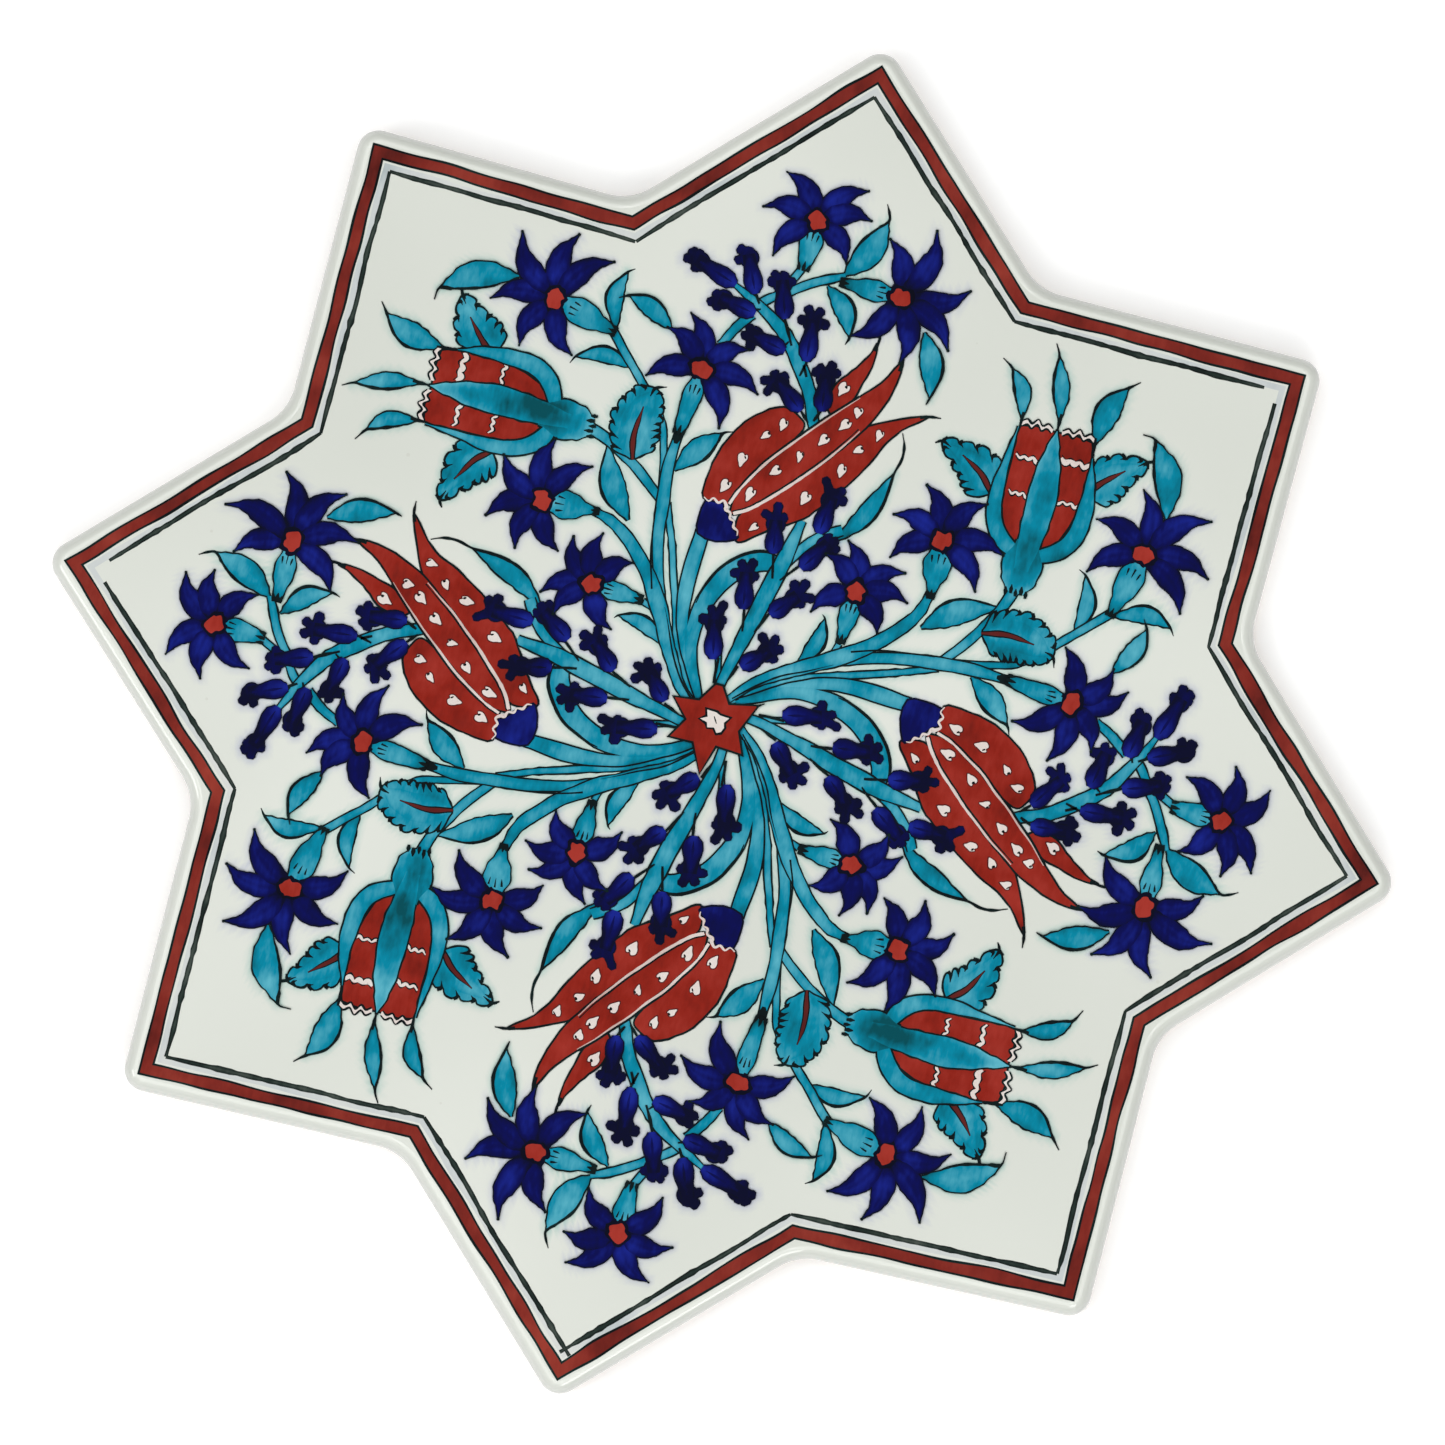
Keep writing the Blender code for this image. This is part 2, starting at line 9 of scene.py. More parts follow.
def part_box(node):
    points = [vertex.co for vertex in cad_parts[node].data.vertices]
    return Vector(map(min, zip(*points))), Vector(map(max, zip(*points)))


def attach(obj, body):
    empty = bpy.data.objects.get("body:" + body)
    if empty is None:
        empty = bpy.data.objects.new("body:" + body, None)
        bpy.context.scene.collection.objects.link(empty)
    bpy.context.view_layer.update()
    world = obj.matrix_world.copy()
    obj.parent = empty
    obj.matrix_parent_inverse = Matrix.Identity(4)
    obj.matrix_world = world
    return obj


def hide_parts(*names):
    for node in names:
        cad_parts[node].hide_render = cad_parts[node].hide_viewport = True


# The looks of the star tile: clay and rolled glaze coat, the brushed border, and every motif
# painted stroke by stroke. Plan sizes are in millimetres until a piece is finished.

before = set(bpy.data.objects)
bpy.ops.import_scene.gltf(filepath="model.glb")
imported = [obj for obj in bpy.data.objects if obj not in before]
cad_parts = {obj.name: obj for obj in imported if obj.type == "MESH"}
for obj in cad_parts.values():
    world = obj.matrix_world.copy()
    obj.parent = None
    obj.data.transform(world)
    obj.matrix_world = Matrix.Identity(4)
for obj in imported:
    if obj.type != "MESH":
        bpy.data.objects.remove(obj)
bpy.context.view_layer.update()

mm = 0.001
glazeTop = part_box("glaze_coat")[1].z / mm
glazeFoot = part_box("glaze_coat")[0].z / mm
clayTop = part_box("bisque_body")[1].z / mm
quarters = 4


# Colours and materials. Node groups hold what several materials share.

def paintColour(red, green, blue):  # screen values, 0 to 255, as linear light
    def linear(value):
        value /= 255
        return value / 12.92 if value <= 0.04045 else ((value + 0.055) / 1.055) ** 2.4
    return (linear(red), linear(green), linear(blue), 1.0)


class Wiring:  # short ways to add nodes to one material or group
    def __init__(self, tree):
        self.nodes, self.links = tree.nodes, tree.links

    def feed(self, sockets, values):  # a link from a socket, a setting from anything else
        for socket, value in zip(sockets, values):
            if isinstance(value, bpy.types.NodeSocket):
                self.links.new(value, socket)
            else:
                socket.default_value = value

    def noise(self, place, scale, detail=2.0, stretch=None):
        if stretch:
            mapping = self.nodes.new("ShaderNodeMapping")
            turn = (0, 0, brushLook["streakTurn"])
            sockets = [mapping.inputs[name] for name in ("Vector", "Scale", "Rotation")]
            self.feed(sockets, (place, stretch, turn))
            place = mapping.outputs["Vector"]
        texture = self.nodes.new("ShaderNodeTexNoise")
        self.feed([texture.inputs[name] for name in ("Vector", "Scale", "Detail")], (place, scale, detail))
        return texture.outputs["Fac"]

    def math(self, operation, first, second, clamp=False):
        node = self.nodes.new("ShaderNodeMath")
        node.operation = operation
        node.use_clamp = clamp
        self.feed(node.inputs, (first, second))
        return node.outputs[0]

    def mix(self, factor, first, second):
        node = self.nodes.new("ShaderNodeMix")
        node.data_type = "RGBA"
        self.feed([node.inputs[index] for index in (0, 6, 7)], (factor, first, second))
        return node.outputs[2]

    def bump(self, height, strength, distance):
        node = self.nodes.new("ShaderNodeBump")
        names = ("Height", "Strength", "Distance")
        self.feed([node.inputs[name] for name in names], (height, strength, distance))
        return node.outputs["Normal"]

    def attribute(self, name):
        node = self.nodes.new("ShaderNodeAttribute")
        node.attribute_name = name
        return node.outputs["Fac"]

    def group(self, tree, place, **values):
        node = self.nodes.new("ShaderNodeGroup")
        node.node_tree = tree
        self.links.new(place, node.inputs["Place"])
        for label, value in values.items():
            node.inputs[label].default_value = value
        return node


def newGroup(name, inputs, outputs):  # each socket by its kind, or by the number it starts from
    tree = bpy.data.node_groups.new(name, "ShaderNodeTree")
    for direction, sockets in (("INPUT", inputs), ("OUTPUT", outputs)):
        for label, kind in sockets.items():
            isNumber = isinstance(kind, float)
            socketType = "NodeSocketFloat" if isNumber else "NodeSocket" + kind
            socket = tree.interface.new_socket(label, in_out=direction, socket_type=socketType)
            if isNumber:
                socket.default_value = kind
    start, end = tree.nodes.new("NodeGroupInput").outputs, tree.nodes.new("NodeGroupOutput").inputs
    return tree, Wiring(tree), start, end


brushLook = {"poolScale": 190.0, "poolShare": 1.5, "streakScale": 1500.0, "streakShare": 0.5,
             "streakStretch": (1.0, 0.35, 1.0), "streakTurn": 0.6}


def makeBrushGroup():  # thin, full and pooled colour by tone, broken up by the brush
    tree, wires, start, end = newGroup(
        "brushedPaint", {"Place": "Vector", "Tone": 0.5, "Mottle": 0.3, "Thin": "Color", "Full": "Color",
                         "Pooled": "Color"}, {"Colour": "Color"})
    pools = wires.noise(start["Place"], brushLook["poolScale"], 2.5)
    streaks = wires.noise(start["Place"], brushLook["streakScale"], 2.0, brushLook["streakStretch"])
    broken = wires.math("ADD", wires.math("MULTIPLY", pools, brushLook["poolShare"]),
                        wires.math("MULTIPLY", streaks, brushLook["streakShare"]))
    shifted = wires.math("MULTIPLY", wires.math("SUBTRACT", broken, 1.0), start["Mottle"])
    tone = wires.math("ADD", shifted, start["Tone"], clamp=True)
    lower = wires.math("MULTIPLY", tone, 2.0, clamp=True)
    upper = wires.math("SUBTRACT", wires.math("MULTIPLY", tone, 2.0), 1.0, clamp=True)
    colour = wires.mix(upper, wires.mix(lower, start["Thin"], start["Full"]), start["Pooled"])
    wires.links.new(colour, end["Colour"])
    return tree


surfaceLook = {"waveScale": 70.0, "pitScale": 600.0, "pitDepth": 0.05, "relief": 0.0006, "ior": 1.56,
               "roughFrom": 0.55, "roughSpread": 0.9}


def makeSurfaceGroup():  # the gentle waves and tiny pits of a fired glaze
    tree, wires, start, end = newGroup("firedSurface", {"Place": "Vector", "Roughness": 0.1, "Ripple": 0.2},
                                       {"Roughness": 0.0, "Normal": "Vector"})
    waves = wires.noise(start["Place"], surfaceLook["waveScale"], 1.0)
    pits = wires.noise(start["Place"], surfaceLook["pitScale"], 2.0)
    height = wires.math("ADD", waves, wires.math("MULTIPLY", pits, surfaceLook["pitDepth"]))
    wires.links.new(wires.bump(height, start["Ripple"], surfaceLook["relief"]), end["Normal"])
    spread = wires.math("MULTIPLY", pits, surfaceLook["roughSpread"])
    share = wires.math("ADD", spread, surfaceLook["roughFrom"])
    wires.links.new(wires.math("MULTIPLY", share, start["Roughness"]), end["Roughness"])
    return tree


glazeLook = {
    "light": paintColour(234, 237, 229), "shade": paintColour(204, 208, 199),
    # edge: painted shade, the grey the glaze takes where the rolled rim falls away from the face
    "edge": paintColour(206, 208, 202), "speck": paintColour(150, 140, 120),
    "copper": paintColour(104, 176, 168), "cobalt": paintColour(112, 122, 190),
    "cloudScale": 14.0, "speckScale": 130.0, "speckSize": 0.035, "speckStrength": 0.12, "patchScale": 300.0,
    "roughness": 0.07, "ripple": 0.10,
}


def makeGlazeGroup():  # white slip under clear glaze: cloudy, stained beside the paint, and greyed down the rolled edge as painted shade
    tree, wires, start, end = newGroup(
        "whiteSlip", {"Place": "Vector", "Cobalt Bleed": 0.0, "Copper Bleed": 0.0, "Rim Shade": 0.0},
        {"Colour": "Color"})
    clouds = wires.noise(start["Place"], glazeLook["cloudScale"])
    base = wires.mix(clouds, glazeLook["light"], glazeLook["shade"])
    specks = wires.nodes.new("ShaderNodeTexVoronoi")
    specks.inputs["Scale"].default_value = glazeLook["speckScale"]
    wires.links.new(start["Place"], specks.inputs["Vector"])
    dots = wires.math("LESS_THAN", specks.outputs["Distance"], glazeLook["speckSize"])
    base = wires.mix(wires.math("MULTIPLY", dots, glazeLook["speckStrength"]), base, glazeLook["speck"])
    # painted shade: the glaze greys towards the edge colour down the rolled rim
    base = wires.mix(start["Rim Shade"], base, glazeLook["edge"])
    patchy = wires.math("ADD", wires.noise(start["Place"], glazeLook["patchScale"]), 0.5)
    for label, stain in (("Copper Bleed", "copper"), ("Cobalt Bleed", "cobalt")):
        base = wires.mix(wires.math("MULTIPLY", patchy, start[label], clamp=True), base, glazeLook[stain])
    wires.links.new(base, end["Colour"])
    return tree


paintLooks = {  # thin, full and pooled colour, mottle, roughness, ripple
    "turquoise": ((92, 178, 196), (0, 134, 162), (0, 76, 86), 0.90, 0.10, 0.12),
    "cobalt": ((22, 36, 138), (6, 10, 82), (6, 8, 40), 0.85, 0.09, 0.14),
    "coral": ((164, 52, 42), (140, 32, 20), (92, 16, 8), 0.85, 0.16, 0.16),
    "brick": ((152, 58, 46), (124, 38, 30), (80, 22, 18), 0.70, 0.16, 0.16),
    "ink": ((16, 44, 42), (8, 20, 22), (3, 8, 10), 0.50, 0.12, 0.10),
    "navy": ((12, 18, 66), (8, 12, 38), (4, 6, 20), 0.50, 0.10, 0.12),
    "slip": ((230, 226, 220), (220, 208, 202), (190, 160, 152), 0.50, 0.12, 0.12),
    "maroon": ((112, 40, 34), (84, 28, 26), (40, 20, 20), 0.45, 0.14, 0.12),
    "wash": ((214, 217, 213), (198, 204, 204), (166, 178, 180), 0.60, 0.08, 0.08),
    "brushBlack": ((78, 86, 80), (34, 46, 42), (8, 16, 16), 0.90, 0.12, 0.10),
}


def newMaterial(name):
    material = bpy.data.materials.new(name)
    material.use_nodes = True
    wires = Wiring(material.node_tree)
    place = wires.nodes.new("ShaderNodeTexCoord").outputs["Object"]
    return material, wires, wires.nodes["Principled BSDF"].inputs, place


def addFiredSurface(wires, shader, place, roughness, ripple):
    surface = wires.group(surfaceGroup, place, Roughness=roughness, Ripple=ripple)
    for label in ("Roughness", "Normal"):
        wires.links.new(surface.outputs[label], shader[label])
    shader["IOR"].default_value = surfaceLook["ior"]


def makePaint(name):
    thin, full, pooled, mottle, roughness, ripple = paintLooks[name]
    material, wires, shader, place = newMaterial(name + "Enamel")
    brushed = wires.group(brushGroup, place, Mottle=mottle, Thin=paintColour(*thin),
                          Full=paintColour(*full), Pooled=paintColour(*pooled))
    wires.links.new(wires.attribute("tone"), brushed.inputs["Tone"])
    wires.links.new(brushed.outputs["Colour"], shader["Base Color"])
    addFiredSurface(wires, shader, place, roughness, ripple)
    return material


def makeGlaze():
    material, wires, shader, place = newMaterial("whiteGlaze")
    slip = wires.group(glazeGroup, place)
    # the edge attribute carries the painted shade of the rolled rim
    for label, name in (("Cobalt Bleed", "cobaltBleed"), ("Copper Bleed", "copperBleed"), ("Rim Shade", "edge")):
        wires.links.new(wires.attribute(name), slip.inputs[label])
    wires.links.new(slip.outputs["Colour"], shader["Base Color"])
    addFiredSurface(wires, shader, place, glazeLook["roughness"], glazeLook["ripple"])
    return material


clayLook = {
    "pale": paintColour(206, 178, 148), "deep": paintColour(184, 150, 120),
    "grain": paintColour(150, 112, 86),
    "cloudScale": 60.0, "grainScale": 1800.0, "grainFrom": 0.63, "roughness": 0.72, "roughSpread": 0.2,
    "bump": 0.35, "relief": 0.0004,
}


def makeClay():
    material, wires, shader, place = newMaterial("bisqueClay")
    clouds = wires.noise(place, clayLook["cloudScale"], 4.0)
    grains = wires.noise(place, clayLook["grainScale"], 3.0)
    colour = wires.mix(clouds, clayLook["pale"], clayLook["deep"])
    colour = wires.mix(wires.math("GREATER_THAN", grains, clayLook["grainFrom"]), colour, clayLook["grain"])
    wires.links.new(colour, shader["Base Color"])
    spread = wires.math("MULTIPLY", grains, clayLook["roughSpread"])
    wires.links.new(wires.math("ADD", spread, clayLook["roughness"]), shader["Roughness"])
    relief = wires.bump(wires.math("ADD", grains, clouds), clayLook["bump"], clayLook["relief"])
    wires.links.new(relief, shader["Normal"])
    return material


brushGroup, surfaceGroup, glazeGroup = makeBrushGroup(), makeSurfaceGroup(), makeGlazeGroup()
paints = {name: makePaint(name) for name in paintLooks}
glazeMaterial, clayMaterial = makeGlaze(), makeClay()
print("materials made")


# Routes and outlines that the brush follows.

def smoothRoute(points, steps, closed=False):  # a smooth curve through the points
    points = [Vector(point) for point in points]
    if closed:
        ends = [points[-1]] + points + points[:2]
    else:
        ends = [points[0] * 2 - points[1]] + points + [points[-1] * 2 - points[-2]]
    route = []
    for index in range(1, len(ends) - 2):
        p0, p1, p2, p3 = ends[index - 1:index + 3]
        for step in range(steps):
            t = step / steps
            route.append(0.5 * (2 * p1 + (p2 - p0) * t + (2 * p0 - 5 * p1 + 4 * p2 - p3) * t * t
                                + (3 * p1 - p0 - 3 * p2 + p3) * t ** 3))
    if not closed:
        route.append(points[-1])
    return route


def leftOf(along):
    return Vector((-along.y, along.x))


def headingAt(route, index):
    return (route[min(index + 1, len(route) - 1)] - route[max(index - 1, 0)]).normalized()


def shareAt(shares, t):  # a smooth value from evenly spaced ones
    place = min(max(t, 0), 1) * (len(shares) - 1)
    low = min(int(place), len(shares) - 2)
    blend = place - low
    blend = blend * blend * (3 - 2 * blend)
    return shares[low] + (shares[low + 1] - shares[low]) * blend


def offsetOutline(points, distance):  # a closed outline moved outwards
    area = sum(first.cross(second) for first, second in zip(points, points[1:] + points[:1]))
    turn = 1 if area > 0 else -1
    moved = []
    count = len(points)
    for index, point in enumerate(points):
        before = (point - points[index - 1]).normalized()
        after = (points[(index + 1) % count] - point).normalized()
        scale = distance * turn / max(1 + before.dot(after), 0.6)
        moved.append(point - leftOf(before + after) * scale)
    return moved


def untangled(points):  # cuts out the small knots an offset leaves at sharp notches
    points = list(points)
    index = 0
    while index < len(points):
        count = len(points)
        for ahead in range(2, min(9, count - 2)):
            far = index + ahead
            knot = geometry.intersect_line_line_2d(points[index], points[(index + 1) % count],
                                                   points[far % count], points[(far + 1) % count])
            if knot:
                dropped = {(index + step) % count for step in range(2, ahead + 1)}
                points[(index + 1) % count] = Vector((knot[0], knot[1]))
                points = [point for place, point in enumerate(points) if place not in dropped]
                index = -1
                break
        index += 1
    return points


def unsteady(point, seed, amount, grain=0.9):  # the hand's small wander, the same every time
    return noise.noise(Vector((point.x * grain, point.y * grain, seed))) * amount


def meshFrom(bm, name, materials, sharpAngle):
    bmesh.ops.recalc_face_normals(bm, faces=bm.faces)
    mesh = bpy.data.meshes.new(name)
    bm.to_mesh(mesh)
    bm.free()
    for material in materials:
        mesh.materials.append(material)
    mesh.set_sharp_from_angle(angle=radians(sharpAngle))
    return mesh


class Painting:  # strokes of one motif, each lying a little above the one before
    rise = 0.0015
    foot = -0.02  # every stroke is rooted this far down in the glaze

    def __init__(self, floor):
        self.bm = bmesh.new()
        self.tone = self.bm.verts.layers.float.new("tone")
        self.level = floor
        self.used = []
        self.edges = {"cobalt": [], "turquoise": []}

    def thicken(self, flatFaces, paint, crowns=None):
        if paint not in self.used:
            self.used.append(paint)
        index = self.used.index(paint)
        for face in flatFaces:
            face.material_index = index
            face.smooth = True
        first = len(self.bm.faces)
        flatVerts = list({vert for face in flatFaces for vert in face.verts})
        heights = {vert: (crowns or {}).get(vert, 0.0) for vert in flatVerts}
        for vert in flatVerts:
            vert.co.z = glazeTop + self.level + heights[vert]
        extruded = bmesh.ops.extrude_face_region(self.bm, geom=flatFaces, use_keep_orig=True)
        for item in extruded["geom"]:
            if isinstance(item, bmesh.types.BMVert):
                item.co.z = glazeTop + self.foot
        self.bm.faces.ensure_lookup_table()
        for face in self.bm.faces[first:]:
            face.material_index = index
        self.level += self.rise

    def sideBySide(self, items):  # every item's strokes start from the same level
        start = self.level
        for item in items:
            self.level = start
            yield item

    def ribbon(self, points, shares, paint, width=1.0, steps=5, columns=2, tone=0.5, tip=None, edge=0.0,
               mid=0.0, root=0.0, shake=0.1, crown=0.001, grow=0.0):
        route = smoothRoute(points, steps)
        rows = len(route) - 1
        grid = bmesh.ops.create_grid(self.bm, x_segments=rows, y_segments=columns, size=1.0)
        verts = grid["verts"]
        sides = []
        for index, point in enumerate(route):
            half = (width * shareAt(shares, index / rows) + grow) / 2
            half = max(half + unsteady(point, 3.0, shake * min(half, 0.5)), 0.03)
            sides.append((leftOf(headingAt(route, index)), half))
        crowns = {}
        tip = tone if tip is None else tip
        for vert in verts:
            row = round((vert.co.x + 1) / 2 * rows)
            across = vert.co.y
            t = row / rows
            side, half = sides[row]
            flat = route[row] + side * half * across
            vert.co.x, vert.co.y = flat.x, flat.y
            shade = tone + (tip - tone) * t + edge * across * across + mid * max(0.0, 1 - abs(across) * 3)
            vert[self.tone] = shade + root * max(0.0, 1 - t * 4)
            crowns[vert] = crown * (1 - across * across)
            if abs(across) > 0.99 and paint in self.edges:
                self.edges[paint].append((flat.x, flat.y))
        self.thicken(list({face for vert in verts for face in vert.link_faces}), paint, crowns)

    def patch(self, outline, paint, steps=3, tone=0.5, grow=0.0, shake=0.0):
        loop = smoothRoute(outline, steps, closed=True) if steps > 1 else [Vector(p) for p in outline]
        if grow or shake:
            loop = offsetOutline(loop, grow)
            loop = [p + Vector((unsteady(p, 5.0, shake), unsteady(p, 9.0, shake))) for p in loop]
            loop = untangled(loop)
        verts = [self.bm.verts.new((point.x, point.y, 0.0)) for point in loop]
        for vert in verts:
            vert[self.tone] = tone
        if paint in self.edges:
            self.edges[paint] += [(point.x, point.y) for point in loop]
        self.thicken([self.bm.faces.new(verts)], paint)

    def line(self, points, shares=(1, 1), width=0.34, tone=0.45, steps=4):
        self.ribbon(points, shares, "ink", width, steps, 1, tone, shake=0.5, crown=0.0)

    def outlined(self, points, shares, paint, width=1.0, ink=0.3, **look):
        steps = look.get("steps", 5)
        self.ribbon(points, shares, "ink", width, steps, 1, 0.4, shake=0.35, crown=0.0, grow=ink * 0.9)
        self.ribbon(points, shares, paint, width, grow=-ink * 0.9, **look)

    def finish(self, name):
        bm = self.bm
        bmesh.ops.recalc_face_normals(bm, faces=bm.faces)
        bmesh.ops.triangulate(bm, faces=[face for face in bm.faces if len(face.verts) > 4])
        return meshFrom(bm, name, [paints[paint] for paint in self.used], 50)


# The star's own outline comes from the red band of the frame.

def bandCorners():
    corners = [Vector((0, 0))] * 16
    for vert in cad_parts["red_border_band"].data.vertices:
        flat = Vector((vert.co.x / mm, vert.co.y / mm))
        index = round(atan2(flat.y, flat.x) / (pi / 8)) % 16
        if flat.length > corners[index].length:
            corners[index] = flat
    return corners


def insetCorners(corners, distance):
    moved = []
    count = len(corners)
    for index, corner in enumerate(corners):
        before = (corner - corners[index - 1]).normalized()
        after = (corners[(index + 1) % count] - corner).normalized()
        moved.append(corner + leftOf(before + after) * (distance / (1 + before.dot(after))))
    return moved


border = {
    "bandInset": 2.45, "bandWidth": 1.6, "contourWidth": 0.25,
    "outsideWander": (4.0, 0.3), "insideWander": (11.0, 0.45),  # seed and amount
    "lineInset": 5.6, "lineWidth": 0.76, "washInset": 4.6, "washWidth": 0.85,
    "lineSwell": (0.65, 1.0, 1.05, 0.95, 1.0, 1.05, 1.0, 0.95, 1.0, 0.65),
    # how far a side's black line stops short of its two corners, by the number of the side
    "lineEnds": {
        1: (0.0, 1.8), 2: (2.0, 0.0), 7: (0.0, 2.2), 8: (2.4, 0.0), 11: (0.0, -1.2), 12: (-0.9, 0.0),
    },
}
body = {
    "tipFillet": 3.2, "valleyFillet": 8.0, "edgeRound": 2.2, "footChamfer": 0.8,
    "glazeThickness": 0.4, "glazeGap": 0.05, "sharpAngle": 35,
    "cornerSteps": 14, "sideSteps": 26, "rollSteps": 8, "faceRings": 118, "hubShare": 0.004,
}
starCorners = insetCorners(bandCorners(), -border["bandInset"])
stencilTipRadius = 101.3
planScale = (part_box("glaze_coat")[1].x / mm + body["tipFillet"] * (2 ** 0.5 - 1)) / stencilTipRadius


def roundedOutline(inset):
    cornerSteps, sideSteps = body["cornerSteps"], body["sideSteps"]
    corners = insetCorners(starCorners, inset)
    count = len(corners)
    arcs = []
    for index, corner in enumerate(corners):
        isTip = index % 2 == 0
        radius = max(body["tipFillet"] - inset, 0.25) if isTip else body["valleyFillet"] + inset
        before = (corners[index - 1] - corner).normalized()
        after = (corners[(index + 1) % count] - corner).normalized()
        halfAngle = before.angle(after) / 2
        centre = corner + (before + after).normalized() * (radius / sin(halfAngle))
        start = corner + before * (radius / tan(halfAngle)) - centre
        turn = (pi - 2 * halfAngle) * (1 if isTip else -1)
        first = atan2(start.y, start.x)
        arcs.append([centre + Vector((cos(first + turn * step / cornerSteps),
                                      sin(first + turn * step / cornerSteps))) * radius
                     for step in range(cornerSteps + 1)])
    points = []
    for index, arc in enumerate(arcs):
        points += arc
        following = arcs[(index + 1) % count][0]
        points += [arc[-1].lerp(following, step / sideSteps) for step in range(1, sideSteps)]
    return points


def wireLoop(bm, outline, height):
    verts = [bm.verts.new((point.x, point.y, height)) for point in outline]
    return [bm.edges.new((vert, verts[(index + 1) % len(verts)])) for index, vert in enumerate(verts)]


def bridged(bm, rings):  # walls between stacked outlines, in order
    loops = [wireLoop(bm, outline, height) for outline, height in rings]
    for lower, upper in zip(loops, loops[1:]):
        bmesh.ops.bridge_loops(bm, edges=lower + upper)
    return loops


def rolledRings(inset, faceHeight, footHeight):
    radius = body["edgeRound"] - inset
    rings = [(roundedOutline(inset), footHeight)]
    for step in range(body["rollSteps"] + 1):
        angle = step / body["rollSteps"] * pi / 2
        outline = roundedOutline(body["edgeRound"] - radius * cos(angle))
        rings.append((outline, faceHeight - radius * (1 - sin(angle))))
    return rings


def addPiece(mesh, name, slot, *nodes):
    mesh.transform(Matrix.Diagonal((mm, mm, mm, 1)))
    piece = bpy.data.objects.new(name, mesh)
    bpy.context.scene.collection.objects.link(piece)
    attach(piece, "root")
    if nodes:
        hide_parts(*nodes)
    return piece


# One quarter's stencil is laid down four times, pulled about as the frame's motifs are.

motifHomes = ((-3.7, 74.0), (10.7, 66.1), (-14.8, 49.1), (14.6, 23.0), (25.0, 33.2), (53.9, 38.2),
              (1.5, 41.0), (37.5, 42.0))


def motifNodes(quarter):
    flowers = [f"star_flower_{quarter * 6 + index + 1:02d}" for index in range(6)]
    return flowers + [f"tulip_{quarter + 1}", f"rosebud_{quarter + 1}"]


def middleOf(node):
    low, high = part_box(node)
    return Vector(((low.x + high.x) / 2, (low.y + high.y) / 2)) / mm / planScale


def turnedBy(point, quarter):
    x, y = point
    angle = quarter * pi / 2
    return Vector((x * cos(angle) - y * sin(angle), x * sin(angle) + y * cos(angle)))


def readStrays():
    homes, strays = [(0.0, 0.0)], [(0.0, 0.0)]
    firsts = [middleOf(node) for node in motifNodes(0)]
    for quarter in range(quarters):
        for home, first, node in zip(motifHomes, firsts, motifNodes(quarter)):
            homes.append(turnedBy(home, quarter)[:])
            strays.append((middleOf(node) - turnedBy(first, quarter))[:])
    return np.array(homes), np.array(strays)


homes, strays = readStrays()


def layDown(flat, quarter):  # flat holds one quarter's points, in millimetres
    angle = quarter * pi / 2
    turned = flat @ np.array(((cos(angle), sin(angle)), (-sin(angle), cos(angle))))
    pulls = 1 / (4.0 + ((turned[:, None, :] - homes[None]) ** 2).sum(2)) ** 2
    moved = turned + pulls @ strays / pulls.sum(1)[:, None]
    x, y = turned[:, 0], turned[:, 1]
    sway = np.stack((np.sin(x * 0.83 + 1.7 * quarter) * np.cos(y * 0.61 + quarter),
                     np.cos(x * 0.57 - quarter) * np.sin(y * 0.91 + 2.1 * quarter)), 1)
    return (moved + 0.09 * sway * (quarter > 0)) * planScale


bleedPoints = {"cobalt": [], "turquoise": []}


def layMotif(painting, slot, nodeName, places=range(quarters)):
    mesh = painting.finish("motif")
    count = len(mesh.vertices)
    co = np.zeros(count * 3)
    mesh.vertices.foreach_get("co", co)
    co = co.reshape(-1, 3)
    for quarter in places:
        laid = mesh.copy()
        moved = co.copy()
        moved[:, :2] = layDown(co[:, :2], quarter)
        laid.vertices.foreach_set("co", moved.ravel())
        addPiece(laid, "painted_" + nodeName(quarter), slot, nodeName(quarter))
        for paint, points in painting.edges.items():
            if points:
                bleedPoints[paint].append(layDown(np.array(points), quarter))
    bpy.data.meshes.remove(mesh)


# Leaves and stems are shared by every motif.

leafSwell = (0.10, 0.55, 0.90, 1.0, 0.84, 0.46, 0.04)


def paintLeaf(painting, base, middle, tip, width, tail=(), side=1, pooled=0.45, ink=0.3):
    painting.outlined((base, middle, tip), leafSwell, "turquoise", width, ink, steps=9, columns=4,
                      tone=pooled - 0.05, tip=pooled - 0.1, edge=0.2, root=0.25)
    route = smoothRoute((base, middle, tip), 9)
    rows = len(route) - 1
    bank = []  # drawn heavier, and running on into the tail
    for row in range(3, rows, 3):
        half = width / 2 * shareAt(leafSwell, row / rows)
        bank.append(route[row] + leftOf(headingAt(route, row)) * side * half)
    painting.line(tuple(bank) + (Vector(tip),) + tail, (0.2, 0.8, 1.1, 0.9, 0.8, 0.9, 0.3), 0.46)


def paintStem(painting, route, widths, pooled=0.42, ink=0.27):
    painting.outlined(route, widths, "turquoise", 1.0, ink, steps=5, columns=4,
                      tone=pooled - 0.02, tip=pooled - 0.06, edge=0.16)


# The vine: stems, leaves and the serrated leaf that spiral out of the middle.

